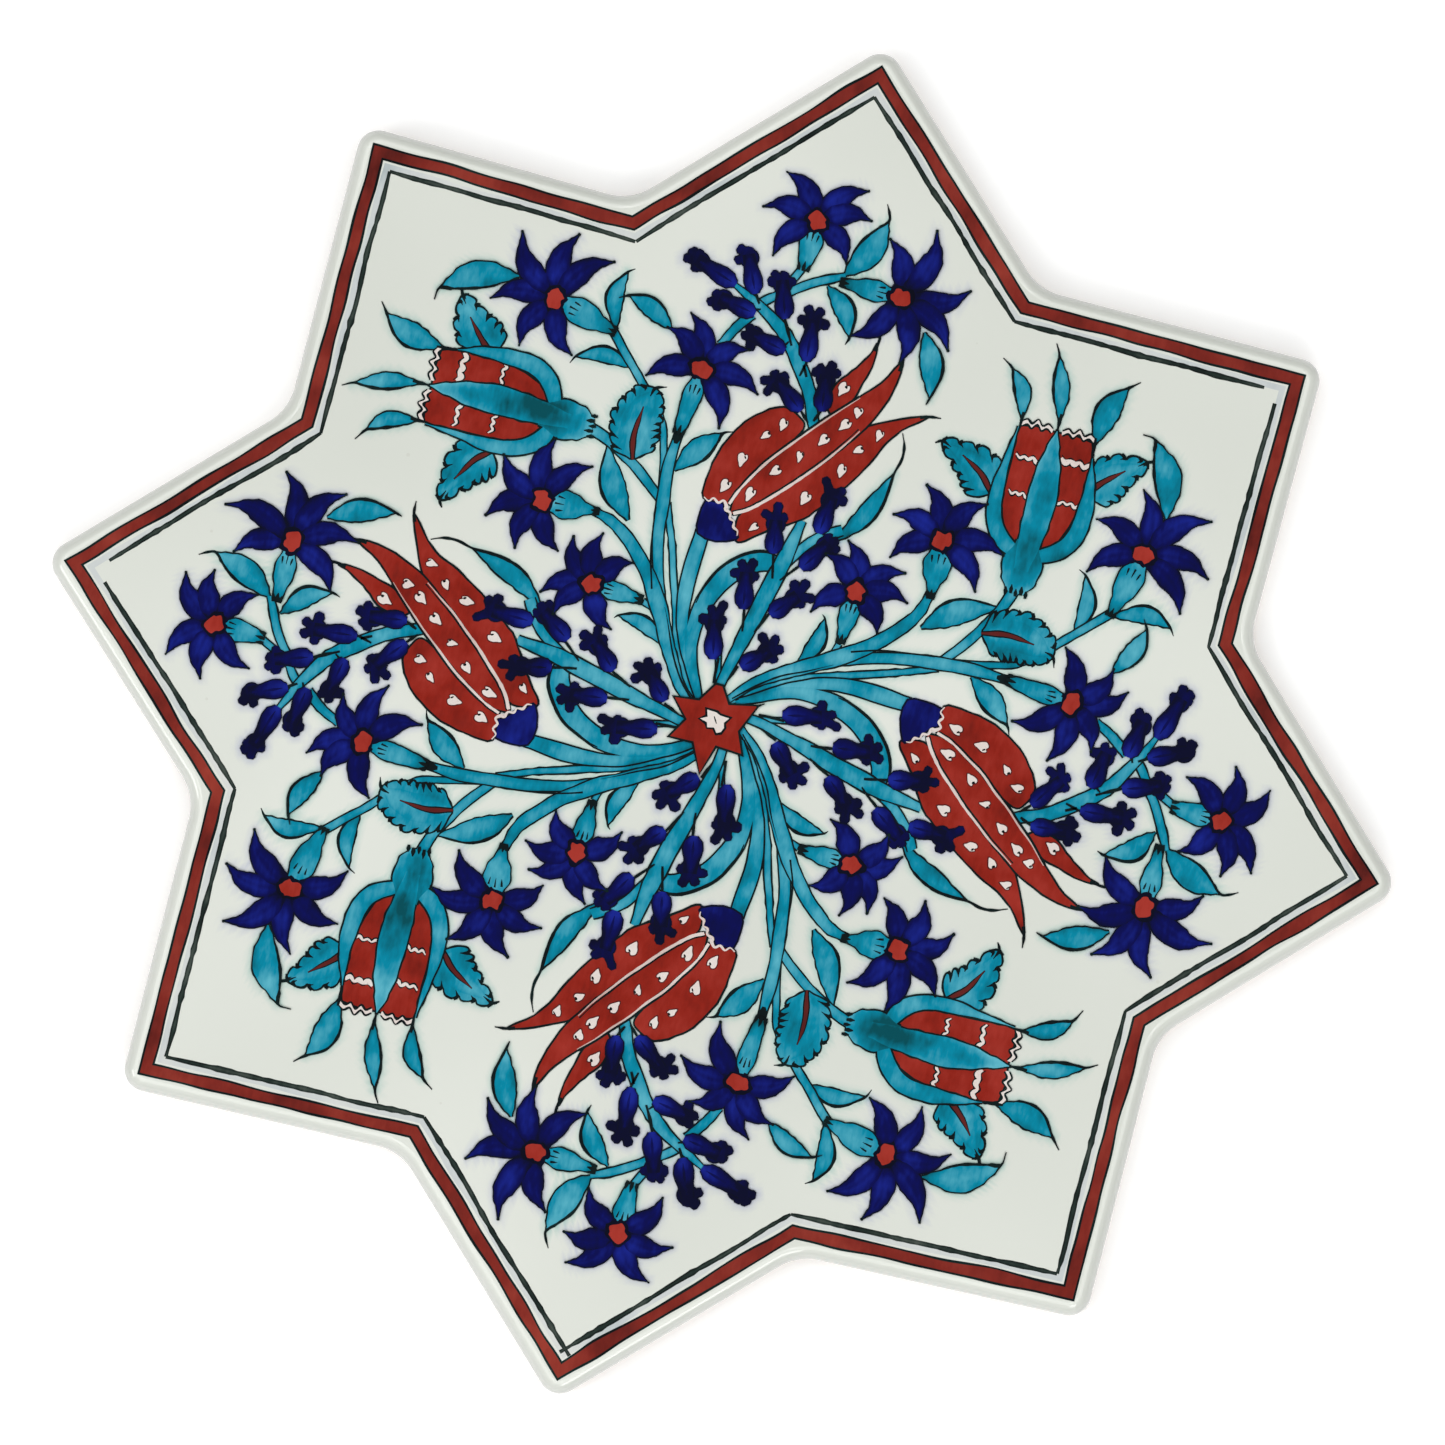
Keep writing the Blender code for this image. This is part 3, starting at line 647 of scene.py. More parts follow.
vine = {
    "floor": 0.006,
    "stems": (
        (((-0.2, 2.2), (2.2, 4.3), (5.2, 6.4), (9, 8.5), (14, 10.3), (19, 11.8), (24, 13.4), (29, 15.2)),
         (0.8, 1.0, 1.2, 1.3, 1.1, 1.0, 1.0, 0.9)),
        (((11.6, 11.6), (13.2, 13.2), (14.1, 15.2)), (0.6, 0.8, 0.9)),
        (((30, 16.4), (35.5, 17.3), (40, 18.5), (43, 20.8), (46, 23.6), (51.3, 28.8)),
         (0.9, 1.0, 1.1, 1.1, 1.2, 1.3)),
        (((29, 16.2), (31.3, 18.8), (33.6, 22.0), (35.6, 25.4), (37.0, 29.0)), (1.2, 1.4, 1.5, 1.5, 1.7)),
        (((14, 12.3), (19, 14.2), (24, 15.3), (29, 15.9), (34, 16.2), (39.4, 15.9)),
         (1.2, 1.6, 1.7, 1.9, 1.8, 1.1)),
        (((-0.9, 2.0), (0.9, 4.0), (3.4, 6.6), (6.5, 8.7), (10, 10.7), (14.5, 13.2), (18.5, 15.9),
          (22, 19.2), (24.2, 22.2), (25.2, 25.4)), (1.0, 1.2, 1.5, 1.8, 2.1, 2.4, 2.1, 1.9, 1.7, 1.2)),
    ),
    "leaves": (
        ((8.8, 10.4), (10.9, 14.5), (11.2, 18.2), 2.4, ((10.7, 18.7),), -1),
        ((25.0, 20.2), (29.5, 23.6), (35.3, 25.8), 3.7, ()),
        ((33.9, 15.2), (37.7, 12.5), (40.7, 9.6), 3.3, ((41.3, 8.2),), -1),
        ((47.0, 24.8), (47.7, 29.2), (46.4, 33.3), 2.4, ((45.3, 33.9),), -1),
        ((51.6, 28.5), (56.3, 29.8), (60.2, 28.8), 2.6, ((60.9, 27.8),)),
    ),
    "serrated": ((33.8, 21.6), (39.5, 22.3), (44.9, 20.7), 7.0, (0.3, 0.84, 1.0, 1.0, 0.9, 0.7, 0.25),
                 ((45.4, 19.2),), 7),
    "veins": (((0.9, 3.7), (3.8, 6.3), (7, 8.6), (10.5, 10.2), (14, 12.0)),
              ((2.4, 4.3), (5.6, 6.1), (9, 7.4), (12.5, 8.5), (16.5, 9.4)),
              ((16, 14.4), (20, 15.6), (24, 16.2), (28, 16.6))),
    "knots": (((37.6, 16.0), (39.6, 16.0)), ((14.0, 15.0), (14.2, 16.2))),
}


def paintSerratedLeaf(painting, base, middle, tip, width, swell, tail, teeth):
    route = smoothRoute((base, middle, tip), 12)
    rows = len(route) - 1

    def across(t, side, extra):  # a point beside the spine, extra beyond the leaf's half width
        at = min(max(t, 0), 1) * rows
        low = min(int(at), rows - 1)
        out = leftOf((route[low + 1] - route[low]).normalized()) * side
        return route[low].lerp(route[low + 1], at - low) + out * (width / 2 * shareAt(swell, t) + extra)

    banks = {1: [], -1: []}
    notches = []
    step = 0.9 / teeth
    for side in (1, -1):
        for tooth in range(teeth):
            t = 0.04 + step * (tooth + (0.3 if side < 0 else 0.0))
            bulge = 0.3 + 0.12 * sin(tooth * 2.1 + side)
            banks[side] += [across(t, side, -0.3), across(t + step * 0.3, side, bulge * 0.6),
                            across(t + step * 0.75, side, bulge)]
            notches.append((across(t + step * 0.9, side, bulge + 0.12), across(t + step * 0.98, side, -0.1),
                            across(t + step * 0.65, side, -0.75 - 0.3 * sin(tooth * 1.3 + side))))
    outline = [route[0]] + banks[1] + [Vector(tip)] + banks[-1][::-1]
    painting.patch(outline, "ink", 3, 0.4, grow=0.17, shake=0.15)
    painting.patch(outline, "turquoise", 3, 0.5, grow=-0.12)
    painting.ribbon((route[2], Vector(middle), route[-3]), swell, "turquoise", width * 0.62, 6, 4,
                    tone=0.3, tip=0.4, edge=0.2)
    for notch in painting.sideBySide(notches):
        painting.line(notch, (0.9, 1.2, 0.2), 0.46, 0.5, 3)
    spine = [route[round(rows * share)] for share in (0.02, 0.35, 0.72)]
    painting.ribbon(spine, (0.7, 1.0, 0.8, 0.2), "ink", 1.05, 6, 1, tone=0.5)
    painting.ribbon(spine, (0.5, 1.0, 0.8, 0.1), "maroon", 0.62, 6, 2, tone=0.35)
    painting.line((route[-4], tip) + tail, (0.3, 1.1, 0.9, 0.4), 0.4)


def paintVine():
    painting = Painting(vine["floor"])
    for leaf in vine["leaves"]:
        paintLeaf(painting, *leaf)
    for route, widths in vine["stems"]:
        paintStem(painting, route, widths)
    paintSerratedLeaf(painting, *vine["serrated"])
    for vein in vine["veins"]:
        painting.line(vein, (0.9, 1.0, 0.8, 0.2), 0.3)
    for knot in vine["knots"]:
        painting.line(knot, (0.5, 1.3, 0.9), 0.9)
    layMotif(painting, "turquoise", lambda quarter: f"vine_{quarter + 1}")


# The tulip, with its stem and broad leaf.

tulip = {
    "stemFloor": 0.105, "floor": 0.135,
    "stem": (((-3.6, 2.0), (-6.1, 6.3), (-7.9, 9.8), (-9.0, 13.2), (-9.5, 17), (-9.5, 21), (-9.1, 26.2)),
             (0.9, 1.1, 1.4, 1.8, 2.2, 2.3, 2.1)),
    "broadLeaf": (((-3.2, 1.6), (-5.0, 5.0), (-6.6, 8.8), (-7.0, 12.6), (-6.2, 16.8), (-4.4, 20.5),
                   (-1.8, 23.1), (1.2, 24.2), (3.0, 23.8)), (0.9, 1.4, 1.9, 2.3, 2.7, 3.1, 3.1, 2.7, 1.8)),
    "fold": ((-7.6, 15.8), (-7.0, 18.4), (-5.3, 21.7), (-2.9, 24.1), (-0.4, 25.4), (1.6, 25.6)),
    "petals": (
        ((4.2, 48.2), (4.5, 51.4), (6.4, 54), (8.2, 56.6), (9.1, 58.9), (9.25, 56), (8.4, 52.8), (7.4, 49.6),
         (5.4, 47.2)),
        ((-10.2, 31), (-10.3, 34.5), (-9.6, 38), (-8, 41.5), (-5.6, 44.5), (-2, 46.6), (0.8, 45.6),
         (1.6, 44.2), (-0.6, 40.6), (-3.2, 36.8), (-5.2, 33.2), (-6.0, 31.0)),
        ((-4.6, 29.5), (-1.8, 32.9), (1.8, 36.3), (5.5, 40.5), (8.8, 44.9), (10.7, 46.8), (15.2, 49),
         (18.9, 50.2), (15.5, 47.3), (13.4, 44.4), (12, 41.3), (9.8, 37.8), (7.3, 34.5), (4.6, 31.4),
         (0.5, 29), (-2.2, 26.8), (-4.1, 26.1)),
        ((-5.9, 30.1), (-5.6, 32.5), (-3.5, 36.3), (-0.8, 40), (3.5, 45.4), (8, 50.3), (11, 53.4),
         (13.3, 57.2), (12.9, 52.5), (11, 47.6), (8.4, 43.6), (5.5, 40), (2, 36), (-1.5, 32.6),
         (-4.9, 29.8)),
    ),
    "stripes": (
        (((-6.3, 31.0), (-5.2, 33.6), (-2.6, 37.9), (0.4, 41.6), (4.4, 46.2), (8.5, 50.5)),
         (1.2, 1.0, 0.9, 0.7, 0.3)),
        (((-5.4, 29.8), (-3.4, 30.9), (-1.0, 33.0), (2.2, 36.3), (5.6, 40.2), (8.2, 43.7), (9.6, 45.8)),
         (1.2, 1.4, 1.0, 0.8, 0.3)),
    ),
    "tails": (((8.9, 57.6), (9.2, 59.4), (9.0, 61.0)), ((13.1, 55.6), (13.2, 57.4), (12.8, 58.6)),
              ((17.6, 49.8), (19.0, 50.25), (20.6, 50.4))),
    "calyx": ((-9.8, 30.6), (-8.6, 30.8), (-7.2, 30.9), (-6.9, 30.2), (-5.8, 29.2), (-5.1, 28.6),
              (-4.8, 27.6), (-4.1, 27.0), (-4.1, 26.2), (-7.0, 25.2), (-9.8, 25.7), (-10.2, 28.0)),
    "scallops": (((-10.1, 31.1), (-9.3, 30.7), (-8.7, 31.3), (-7.9, 30.8), (-7.2, 31.3), (-6.6, 30.6),
                  (-6.6, 30.1), (-5.8, 29.8), (-5.7, 29.0), (-5.0, 28.7), (-4.9, 27.9), (-4.2, 27.5),
                  (-4.1, 26.8)), (0.5, 0.9, 0.7, 1.0, 0.9, 1.7, 1.4, 1.0, 1.0, 0.9, 1.0, 0.8, 0.5)),
    "hearts": ((-7.5, 33.5), (-6, 37.8), (-3.5, 42), (-1.4, 44.1), (-3.7, 33.2), (-0.9, 37.3), (2, 40.2),
               (4.8, 43.3), (7.3, 46.2), (8.7, 48.4), (-2, 28.6), (4.2, 34.5), (8.4, 39.6), (10.1, 43.1),
               (12.5, 45.9), (5.8, 51.2)),
}
heartShape = ((0.0, -1.0), (0.42, -0.35), (0.66, 0.2), (0.45, 0.68), (0.12, 0.5), (-0.2, 0.78), (-0.6, 0.5),
              (-0.58, -0.1), (-0.3, -0.5))


def paintTulip():
    painting = Painting(tulip["stemFloor"])
    for grow, paint in ((0.27, "ink"), (-0.24, "turquoise")):  # one outline round both
        for route, widths in (tulip["stem"], tulip["broadLeaf"]):
            painting.ribbon(route, widths, paint, 1.0, 5, 4, tone=0.35, tip=0.42, edge=0.12, root=0.3,
                            grow=grow)
    painting.line(tulip["fold"], (0.3, 0.8, 1.1, 1.1, 0.8), 0.5)
    painting.level = tulip["floor"]
    for outline in tulip["petals"]:
        painting.patch(outline, "ink", 4, 0.45, grow=0.16, shake=0.16)
        painting.patch(outline, "coral", 4, 0.45, grow=-0.14, shake=0.12)
    for route, widths in tulip["stripes"]:
        beside = [Vector(point) + Vector((-0.24, 0.24)) for point in route]
        painting.line(beside, (0.7, 1.0, 0.9, 0.5), 0.32)
        painting.ribbon(route, widths, "slip", 0.36, 6, 2, tone=0.45, tip=0.9, shake=0.5)
    for tail in tulip["tails"]:
        painting.line(tail, (1.0, 0.9, 0.3), 0.5)
    for index, (x, y) in painting.sideBySide(enumerate(tulip["hearts"])):  # no two quite alike
        lean = radians(-22 + 24 * sin(index * 2.3))
        size = 1.04 + 0.18 * sin(index * 1.7 + 1.0)
        thin = size * (0.92 + 0.14 * sin(index * 3.1))
        heart = [(x + px * cos(lean) * thin - py * sin(lean) * size,
                  y + px * sin(lean) * thin + py * cos(lean) * size) for px, py in heartShape]
        painting.patch(heart, "maroon", 3, 0.45, grow=0.17, shake=0.1)
        painting.patch(heart, "slip", 3, 0.35, shake=0.14)
        painting.line(((x + 0.25, y + 0.55), (x + 0.5, y + 0.15)), (0.6, 1.0, 0.4), 0.34)
    painting.patch(tulip["calyx"], "navy", 2, 0.5, grow=0.16)
    painting.patch(tulip["calyx"], "cobalt", 2, 0.42, grow=-0.14)
    route, widths = tulip["scallops"]
    painting.ribbon(route, widths, "slip", 0.34, 4, 2, tone=0.5, shake=0.6)
    layMotif(painting, "coral_red", lambda quarter: f"tulip_{quarter + 1}")


# The rosebud: banded red in turquoise sepals.

rosebud = {
    "floor": 0.12,
    "ground": ((34.4, 34.6), (32.6, 38.0), (32.0, 42.5), (32.0, 47.5), (32.1, 52.2), (37.2, 52.4),
               (42.7, 52.2), (43.2, 48.0), (43.0, 42.0), (41.6, 37.6), (39.6, 34.8)),
    "bands": (  # wavy slip bands across the red: left and right end, height, width
        (32.4, 36.2, 47.8, 0.5), (32.6, 35.8, 42.5, 0.36), (38.9, 43.1, 48.7, 0.8), (39.4, 43.1, 42.7, 0.4),
    ),
    "ends": ((32.2, 36.6, 52.2), (38.3, 42.9, 52.2)),  # the scalloped slip ends above the red
    "sepals": (  # route and widths, as in the bulb and the centre
        (((36.6, 33.6), (33.2, 35.6), (31.4, 38.6), (31.0, 42.5), (31.3, 47.0), (31.8, 52.0)),
         (1.8, 2.5, 2.3, 2.0, 1.1, 0.3)),
        (((37.6, 33.6), (41.6, 35.6), (43.6, 38.4), (44.1, 42.5), (43.9, 46.0), (43.3, 50.0)),
         (1.8, 2.5, 2.6, 2.4, 1.5, 0.3)),
    ),
    "bulb": (((37.0, 28.4), (37.1, 30.4), (37.1, 32.8), (37.2, 36.0)), (2.9, 5.2, 6.0, 3.6)),
    "centre": (((37.1, 31.8), (37.3, 35.5), (37.5, 39.0), (37.6, 42.5), (37.5, 46.5), (37.4, 50.0),
                (37.4, 52.9)), (2.4, 3.5, 4.1, 4.4, 3.7, 2.0, 0.3)),
    "leaves": (
        ((32.0, 53.2), (31.1, 57.3), (28.9, 60.0), 2.4, ((27.3, 61.1),)),
        ((37.4, 54.0), (36.5, 59.0), (35.1, 63.4), 2.4, ((34.3, 65.0),)),
        ((43.1, 52.0), (43.9, 57.2), (46.0, 61.2), 3.6, ((47.5, 62.4),)),
    ),
    "stalks": (((32.0, 51.8), (32.0, 54.2)), ((37.4, 52.6), (37.4, 55.2)), ((43.2, 50.0), (43.1, 53.0))),
    "sideLeaves": (
        ((30.2, 41.6), (27.0, 45.0), (21.6, 47.3), 6.2, (0.6, 0.95, 1.0, 0.92, 0.7, 0.42, 0.1),
         ((20.6, 46.8),), 5),
        ((43.6, 44.6), (46.6, 48.0), (51.2, 51.3), 6.4, (0.6, 0.95, 1.0, 0.95, 0.75, 0.45, 0.1),
         ((52.4, 51.7), (53.2, 51.3)), 5),
    ),
}


def paintRosebud():
    painting = Painting(rosebud["floor"])
    for leaf in rosebud["sideLeaves"]:
        paintSerratedLeaf(painting, *leaf)
    for leaf in rosebud["leaves"]:
        paintLeaf(painting, *leaf)
    painting.patch(rosebud["ground"], "ink", 2, 0.45, grow=0.2)
    painting.patch(rosebud["ground"], "coral", 2, 0.45, grow=-0.12)
    for left, right, height, width in painting.sideBySide(rosebud["bands"]):
        wave = [(left + (right - left) * step / 6,
                 height + 0.22 * (-1) ** step + 0.1 * sin(step * 2 + left)) for step in range(7)]
        painting.line([(x, y - width * 0.5 - 0.08) for x, y in wave], (0.8, 1.2, 0.7, 1.1, 0.8), 0.34)
        painting.line([(x, y + width * 0.5 + 0.04) for x, y in wave], (0.6, 0.9, 0.6, 1.0, 0.6), 0.26)
        painting.ribbon(wave, (0.5, 1.0, 0.7, 1.1, 0.6, 1.0, 0.5), "slip", width, 4, 2, tone=0.4, shake=0.6)
    for left, right, height in painting.sideBySide(rosebud["ends"]):
        arcs = [(left + (right - left) * step / 6, height + 0.5 * (step % 2) + 0.3 * (step == 3))
                for step in range(7)]
        lower = [(x, y - 0.1) for x, y in arcs]
        upper = [(x + (x - (left + right) / 2) * 0.06, y + 0.65) for x, y in arcs]
        painting.patch(lower + upper[::-1], "slip", 3, 0.4)
        painting.line(lower, (0.8, 1.1, 0.8, 1.1, 0.8), 0.3)
        painting.line(upper, (0.6, 1.0, 0.7, 1.0, 0.6), 0.34)
    plain = {"tone": 0.42, "tip": 0.34, "edge": 0.14}
    shapes = [(sepal, plain) for sepal in rosebud["sepals"]]
    shapes.append((rosebud["bulb"], {"tone": 0.4, "tip": 1.15, "edge": -0.3}))  # pooled dark at the top
    shapes.append((rosebud["centre"], {"tone": 1.25, "tip": 0.14, "edge": -0.25, "root": -0.4}))
    for shape, look in shapes:
        painting.ribbon(*shape, "ink", 1.0, 7, 1, 0.4, shake=0.35, grow=0.3)
    for shape, look in shapes:
        painting.ribbon(*shape, "turquoise", 1.0, 7, 6, grow=-0.26, **look)
    for stalk in rosebud["stalks"]:
        painting.line(stalk, (0.6, 1.1, 0.7), 0.5)
    for index in painting.sideBySide(range(5)):  # the dark ticks where the bulb sits on its stem
        x, odd = 35.6 + 0.75 * index, index % 2
        painting.line(((x + 0.1, 27.9 + 0.3 * odd), (x, 29.0 + 0.5 * odd)), (0.7, 1.1, 0.3), 0.55)
    layMotif(painting, "turquoise", lambda quarter: f"rosebud_{quarter + 1}")


# Hyacinth sprays, beyond each tulip and inside it.

outerSpray = {
    "stemFloor": 0.115, "floor": 0.225,
    "stems": (
        (((-5.8, 63.4), (-4.0, 67.2)), (1.2, 1.1)),
        (((-9.3, 60), (-7.5, 61.6), (-5, 63.2), (-2, 65.2), (2.2, 67.2)), (1.2, 1.3, 1.3, 1.3, 1.1)),
        (((-9.6, 58.6), (-11.4, 56.2), (-13.0, 53.2)), (1.4, 1.4, 1.3)),
        (((3.6, 43.4), (2.4, 46.2), (1.2, 49.4), (-1.2, 53), (-4.2, 56.8), (-8.5, 59.8), (-14.0, 62.6)),
         (1.4, 1.7, 1.9, 2.1, 2.0, 1.5, 0.8)),
    ),
    "stalks": (((-0.8, 51.5), (-0.2, 54)), ((-3, 55.5), (-5, 59.3)), ((-9, 60.3), (-10.2, 62.2)),
               ((-8.6, 59.6), (-10, 59)), ((-3.5, 56), (-4.2, 55)), ((2.0, 45.2), (0.6, 46.6)),
               ((2.7, 45.6), (3.5, 47.4)), ((0.2, 51.6), (-0.6, 53.2))),
    "leaves": (
        ((2.0, 67.2), (4.9, 71.6), (6.4, 76.4), 3.9, ((6.2, 77.6), (5.6, 78.8))),
        ((0.0, 65.2), (3.2, 62.4), (4.9, 58.6), 3.0, ((4.5, 57.5),)),
    ),
    "bells": (  # foot, mouth and the lobes round the mouth
        ((-13.2, 62.3), (-18.8, 64.2), ((-21.3, 64.2), (-20.5, 65.8), (-19.0, 65.9), (-19.2, 62.6))),
        ((-10.0, 61.8), (-12.0, 66.4), ((-14.0, 67.5), (-12.2, 68.0), (-10.9, 66.6), (-13.8, 65.4))),
        ((-4.9, 59.3), (-6.4, 63.9), ((-8.3, 65.2), (-6.3, 65.7), (-4.6, 64.5), (-8.5, 63.6))),
        ((-9.5, 58.8), (-14.2, 59.7), ((-15.8, 60.6), (-16.3, 58.6), (-14.8, 57.9))),
        ((-4.0, 54.6), (-8.6, 55.6), ((-9.6, 57.1), (-10.4, 55.1), (-8.6, 53.4))),
        ((-0.4, 54.0), (-0.8, 59.4), ((-3.0, 59.3), (-2.2, 61.6), (0.2, 61.7), (1.6, 59.4))),
        ((0.4, 46.8), (-3.4, 49.8), ((-4.6, 51.4), (-2.4, 51.2), (-6.1, 49.5), (-5.0, 47.7))),
        ((3.5, 47.5), (3.0, 52.0), ((1.3, 53.5), (3.6, 54.6), (4.9, 53.3), (0.8, 52.6))),
    ),
}
innerSpray = {
    "stemFloor": 0.115, "floor": 0.225,
    "stems": (
        (((-1.6, 5.4), (-2.6, 9.6)), (0.8, 0.8)),
        (((3.2, 23.5), (5.2, 26.8), (7.5, 29.4), (10.6, 31.2)), (1.4, 1.4, 1.4, 1.6)),
        (((-1.5, 2.6), (-1.2, 5.6), (-0.2, 10), (1.0, 15), (2.2, 20), (3.4, 25), (4.6, 31.2)),
         (1.2, 1.4, 1.8, 2.3, 2.5, 2.3, 1.3)),
    ),
    "stalks": (((-2.3, 5.2), (-2.4, 9)), ((-0.4, 6), (0.6, 8.5)), ((0, 13.5), (-0.5, 16.8)),
               ((1.7, 13.8), (3.3, 17.2)), ((2.4, 22), (1.6, 26)), ((3.5, 22), (6, 25))),
    "leaves": (
        ((10.0, 29.4), (13.5, 34.6), (15.9, 41.0), 2.7, ((16.5, 43.2), (16.4, 45.2), (15.7, 47.0)), -1),
    ),
    "bells": (
        ((-3.2, 8.8), (-4.2, 13.6), ((-6.6, 13.7), (-5.4, 16.0), (-3.4, 17.0), (-2.6, 14.4))),
        ((1.2, 8.6), (4.2, 11.4), ((6.4, 12.4), (5.0, 14.1), (2.6, 13.8), (5.6, 10.2))),
        ((-0.7, 16.9), (-1.4, 21.4), ((-3.7, 21.2), (-2.8, 23.4), (-0.6, 24.0), (0.4, 21.5))),
        ((3.5, 17.0), (6.2, 20.0), ((9.0, 20.5), (7.4, 22.9), (5.4, 22.4), (7.6, 18.9))),
        ((1.6, 25.8), (1.0, 29.8), ((-1.3, 31.0), (0.7, 32.9), (2.4, 31.2))),
        ((6.2, 24.6), (8.8, 28.4), ((10.4, 29.6), (8.6, 30.2), (10.8, 28.0))),
        ((7.4, 30.2), (7.9, 35.0), ((6.3, 38.0), (8.0, 36.8), (9.6, 37.0), (10.2, 35.2))),
    ),
}


bellLook = {
    "mouthRadius": 1.4, "armWidth": 1.4, "armSwell": (1.2, 1.15, 0.98, 0.88, 0.92, 0.4),
    "width": 2.75, "swell": (0.4, 0.92, 1.0, 0.9, 0.74, 0.66, 0.6), "overlap": 0.2,
}


def paintBell(painting, foot, mouth, lobes):
    foot, mouth = Vector(foot), Vector(mouth)
    along = (mouth - foot).normalized()
    around = [step * pi / 5 for step in range(10)]
    disc = [mouth + Vector((cos(angle), sin(angle))) * bellLook["mouthRadius"] for angle in around]
    arms = []
    for lobe in lobes:
        reach = Vector(lobe) - mouth
        arms.append((mouth - reach * 0.15, mouth + reach * 0.5 + along * 0.28, mouth + reach * 1.04))
    for grow, paint, tone in ((0.22, "navy", 0.6), (-0.2, "cobalt", 0.9)):
        for arm in arms:
            painting.ribbon(arm, bellLook["armSwell"], paint, bellLook["armWidth"], 5, 2, tone=tone,
                            grow=grow, shake=0.35)
        painting.patch(disc, paint, 2, tone, grow=grow / 2)
    route = (foot - along * 0.25, foot.lerp(mouth, 0.35), foot.lerp(mouth, 0.7), mouth + along * 0.6)
    swell, width, overlap = bellLook["swell"], bellLook["width"], bellLook["overlap"]
    painting.ribbon(route, swell, "navy", width, 5, 1, tone=0.6, grow=overlap)
    painting.ribbon(route, swell, "cobalt", width, 5, 4, tone=0.02, tip=0.95, edge=0.4, grow=-overlap)
    crease = (foot + along * 0.5, foot.lerp(mouth, 0.5), mouth)
    painting.ribbon(crease, (0.2, 1.0, 0.6, 0.8), "cobalt", 0.4, 4, 1, tone=0.7)


def paintSpray(spray, nodeName):
    painting = Painting(spray["stemFloor"])
    for leaf in spray["leaves"]:
        paintLeaf(painting, *leaf)
    for route, widths in spray["stems"]:
        paintStem(painting, route, widths)
    painting.level = spray["floor"] - painting.rise
    for stalk in painting.sideBySide(spray["stalks"]):
        painting.line(stalk, (0.6, 1.0, 0.8), 0.45)
    painting.level = spray["floor"]
    for bell in painting.sideBySide(spray["bells"]):
        paintBell(painting, *bell)
    layMotif(painting, "cobalt_blue", nodeName)


# Star flowers, six to a quarter.

flowers = (  # centre, heading of the flower, petal tips, calyx far end and widths, leaves
    {"centre": (-3.7, 74.0), "heading": 88, "calyx": ((-4.0, 66.9), 3.5, 1.7), "leaves": (),
     "tips": ((-9.4, 79.8), (2.3, 79.9), (3.7, 75.9), (1.8, 69.2), (-8.7, 67.9), (-11.6, 74.3))},
    {"centre": (10.7, 66.1), "heading": 0, "calyx": ((2.0, 66.2), 3.2, 1.2),
     "leaves": (((15.3, 62.0), (17.4, 57.6), (18.3, 52.8), 3.4, ((18.0, 51.8),)),),
     "tips": ((7.4, 73.8), (13.6, 76.5), (20.2, 69.2), (19.1, 60.4), (12.9, 57.0), (5.1, 59.0))},
    {"centre": (-14.8, 49.1), "heading": 83, "calyx": ((-15.9, 39.5), 2.9, 1.6),
     "leaves": (((-20.3, 53.6), (-24.2, 56.0), (-27.8, 56.9), 2.8, ((-29.2, 56.2),), -1),),
     "tips": ((-18.1, 56.5), (-9.0, 53.4), (-6.3, 47.6), (-10.4, 41.6), (-22.3, 46.5), (-20.9, 53.8))},
    {"centre": (14.6, 23.0), "heading": 92, "calyx": ((14.2, 15.6), 3.0, 1.2), "leaves": (),
     "tips": ((12.0, 29.8), (20.7, 27.3), (22.0, 23.3), (19.0, 18.1), (9.1, 18.9), (9.3, 27.3))},
    {"centre": (25.0, 33.2), "heading": 91, "calyx": ((25.3, 25.0), 4.2, 0.9), "leaves": (),
     "tips": ((21.1, 40.4), (29.9, 39.8), (33.9, 33.3), (31.3, 27.4), (18.4, 29.3), (17.5, 35.3))},
    {"centre": (53.9, 38.2), "heading": 74, "calyx": ((51.3, 28.7), 4.0, 1.3),
     "leaves": (((55.8, 44.0), (54.6, 50.0), (51.5, 54.8), 4.0, ((49.6, 55.1),)),),
     "tips": ((51.8, 47.1), (62.0, 45.1), (63.5, 37.1), (60.9, 31.4), (46.6, 34.1), (46.3, 41.6))},
)
petalLook = {
    "floor": 0.27, "width": 3.35, "reachShare": 0.022, "bow": 0.13,
    "swell": (0.40, 0.70, 0.95, 1.0, 0.86, 0.58, 0.27, 0.07), "blobRadius": 1.25,
}


def petalOf(centre, heading, tip):  # a route that bows away from the flower's heading, and a width
    reach = tip - centre
    turn = (atan2(reach.y, reach.x) - heading + pi) % (2 * pi) - pi
    side = leftOf(reach) * (-petalLook["bow"] if turn > 0 else petalLook["bow"])
    route = (centre + reach * 0.06, centre + reach * 0.38 + side * 0.85,
             centre + reach * 0.72 + side * 0.95, tip)
    return route, petalLook["width"] * (0.82 + petalLook["reachShare"] * reach.length)


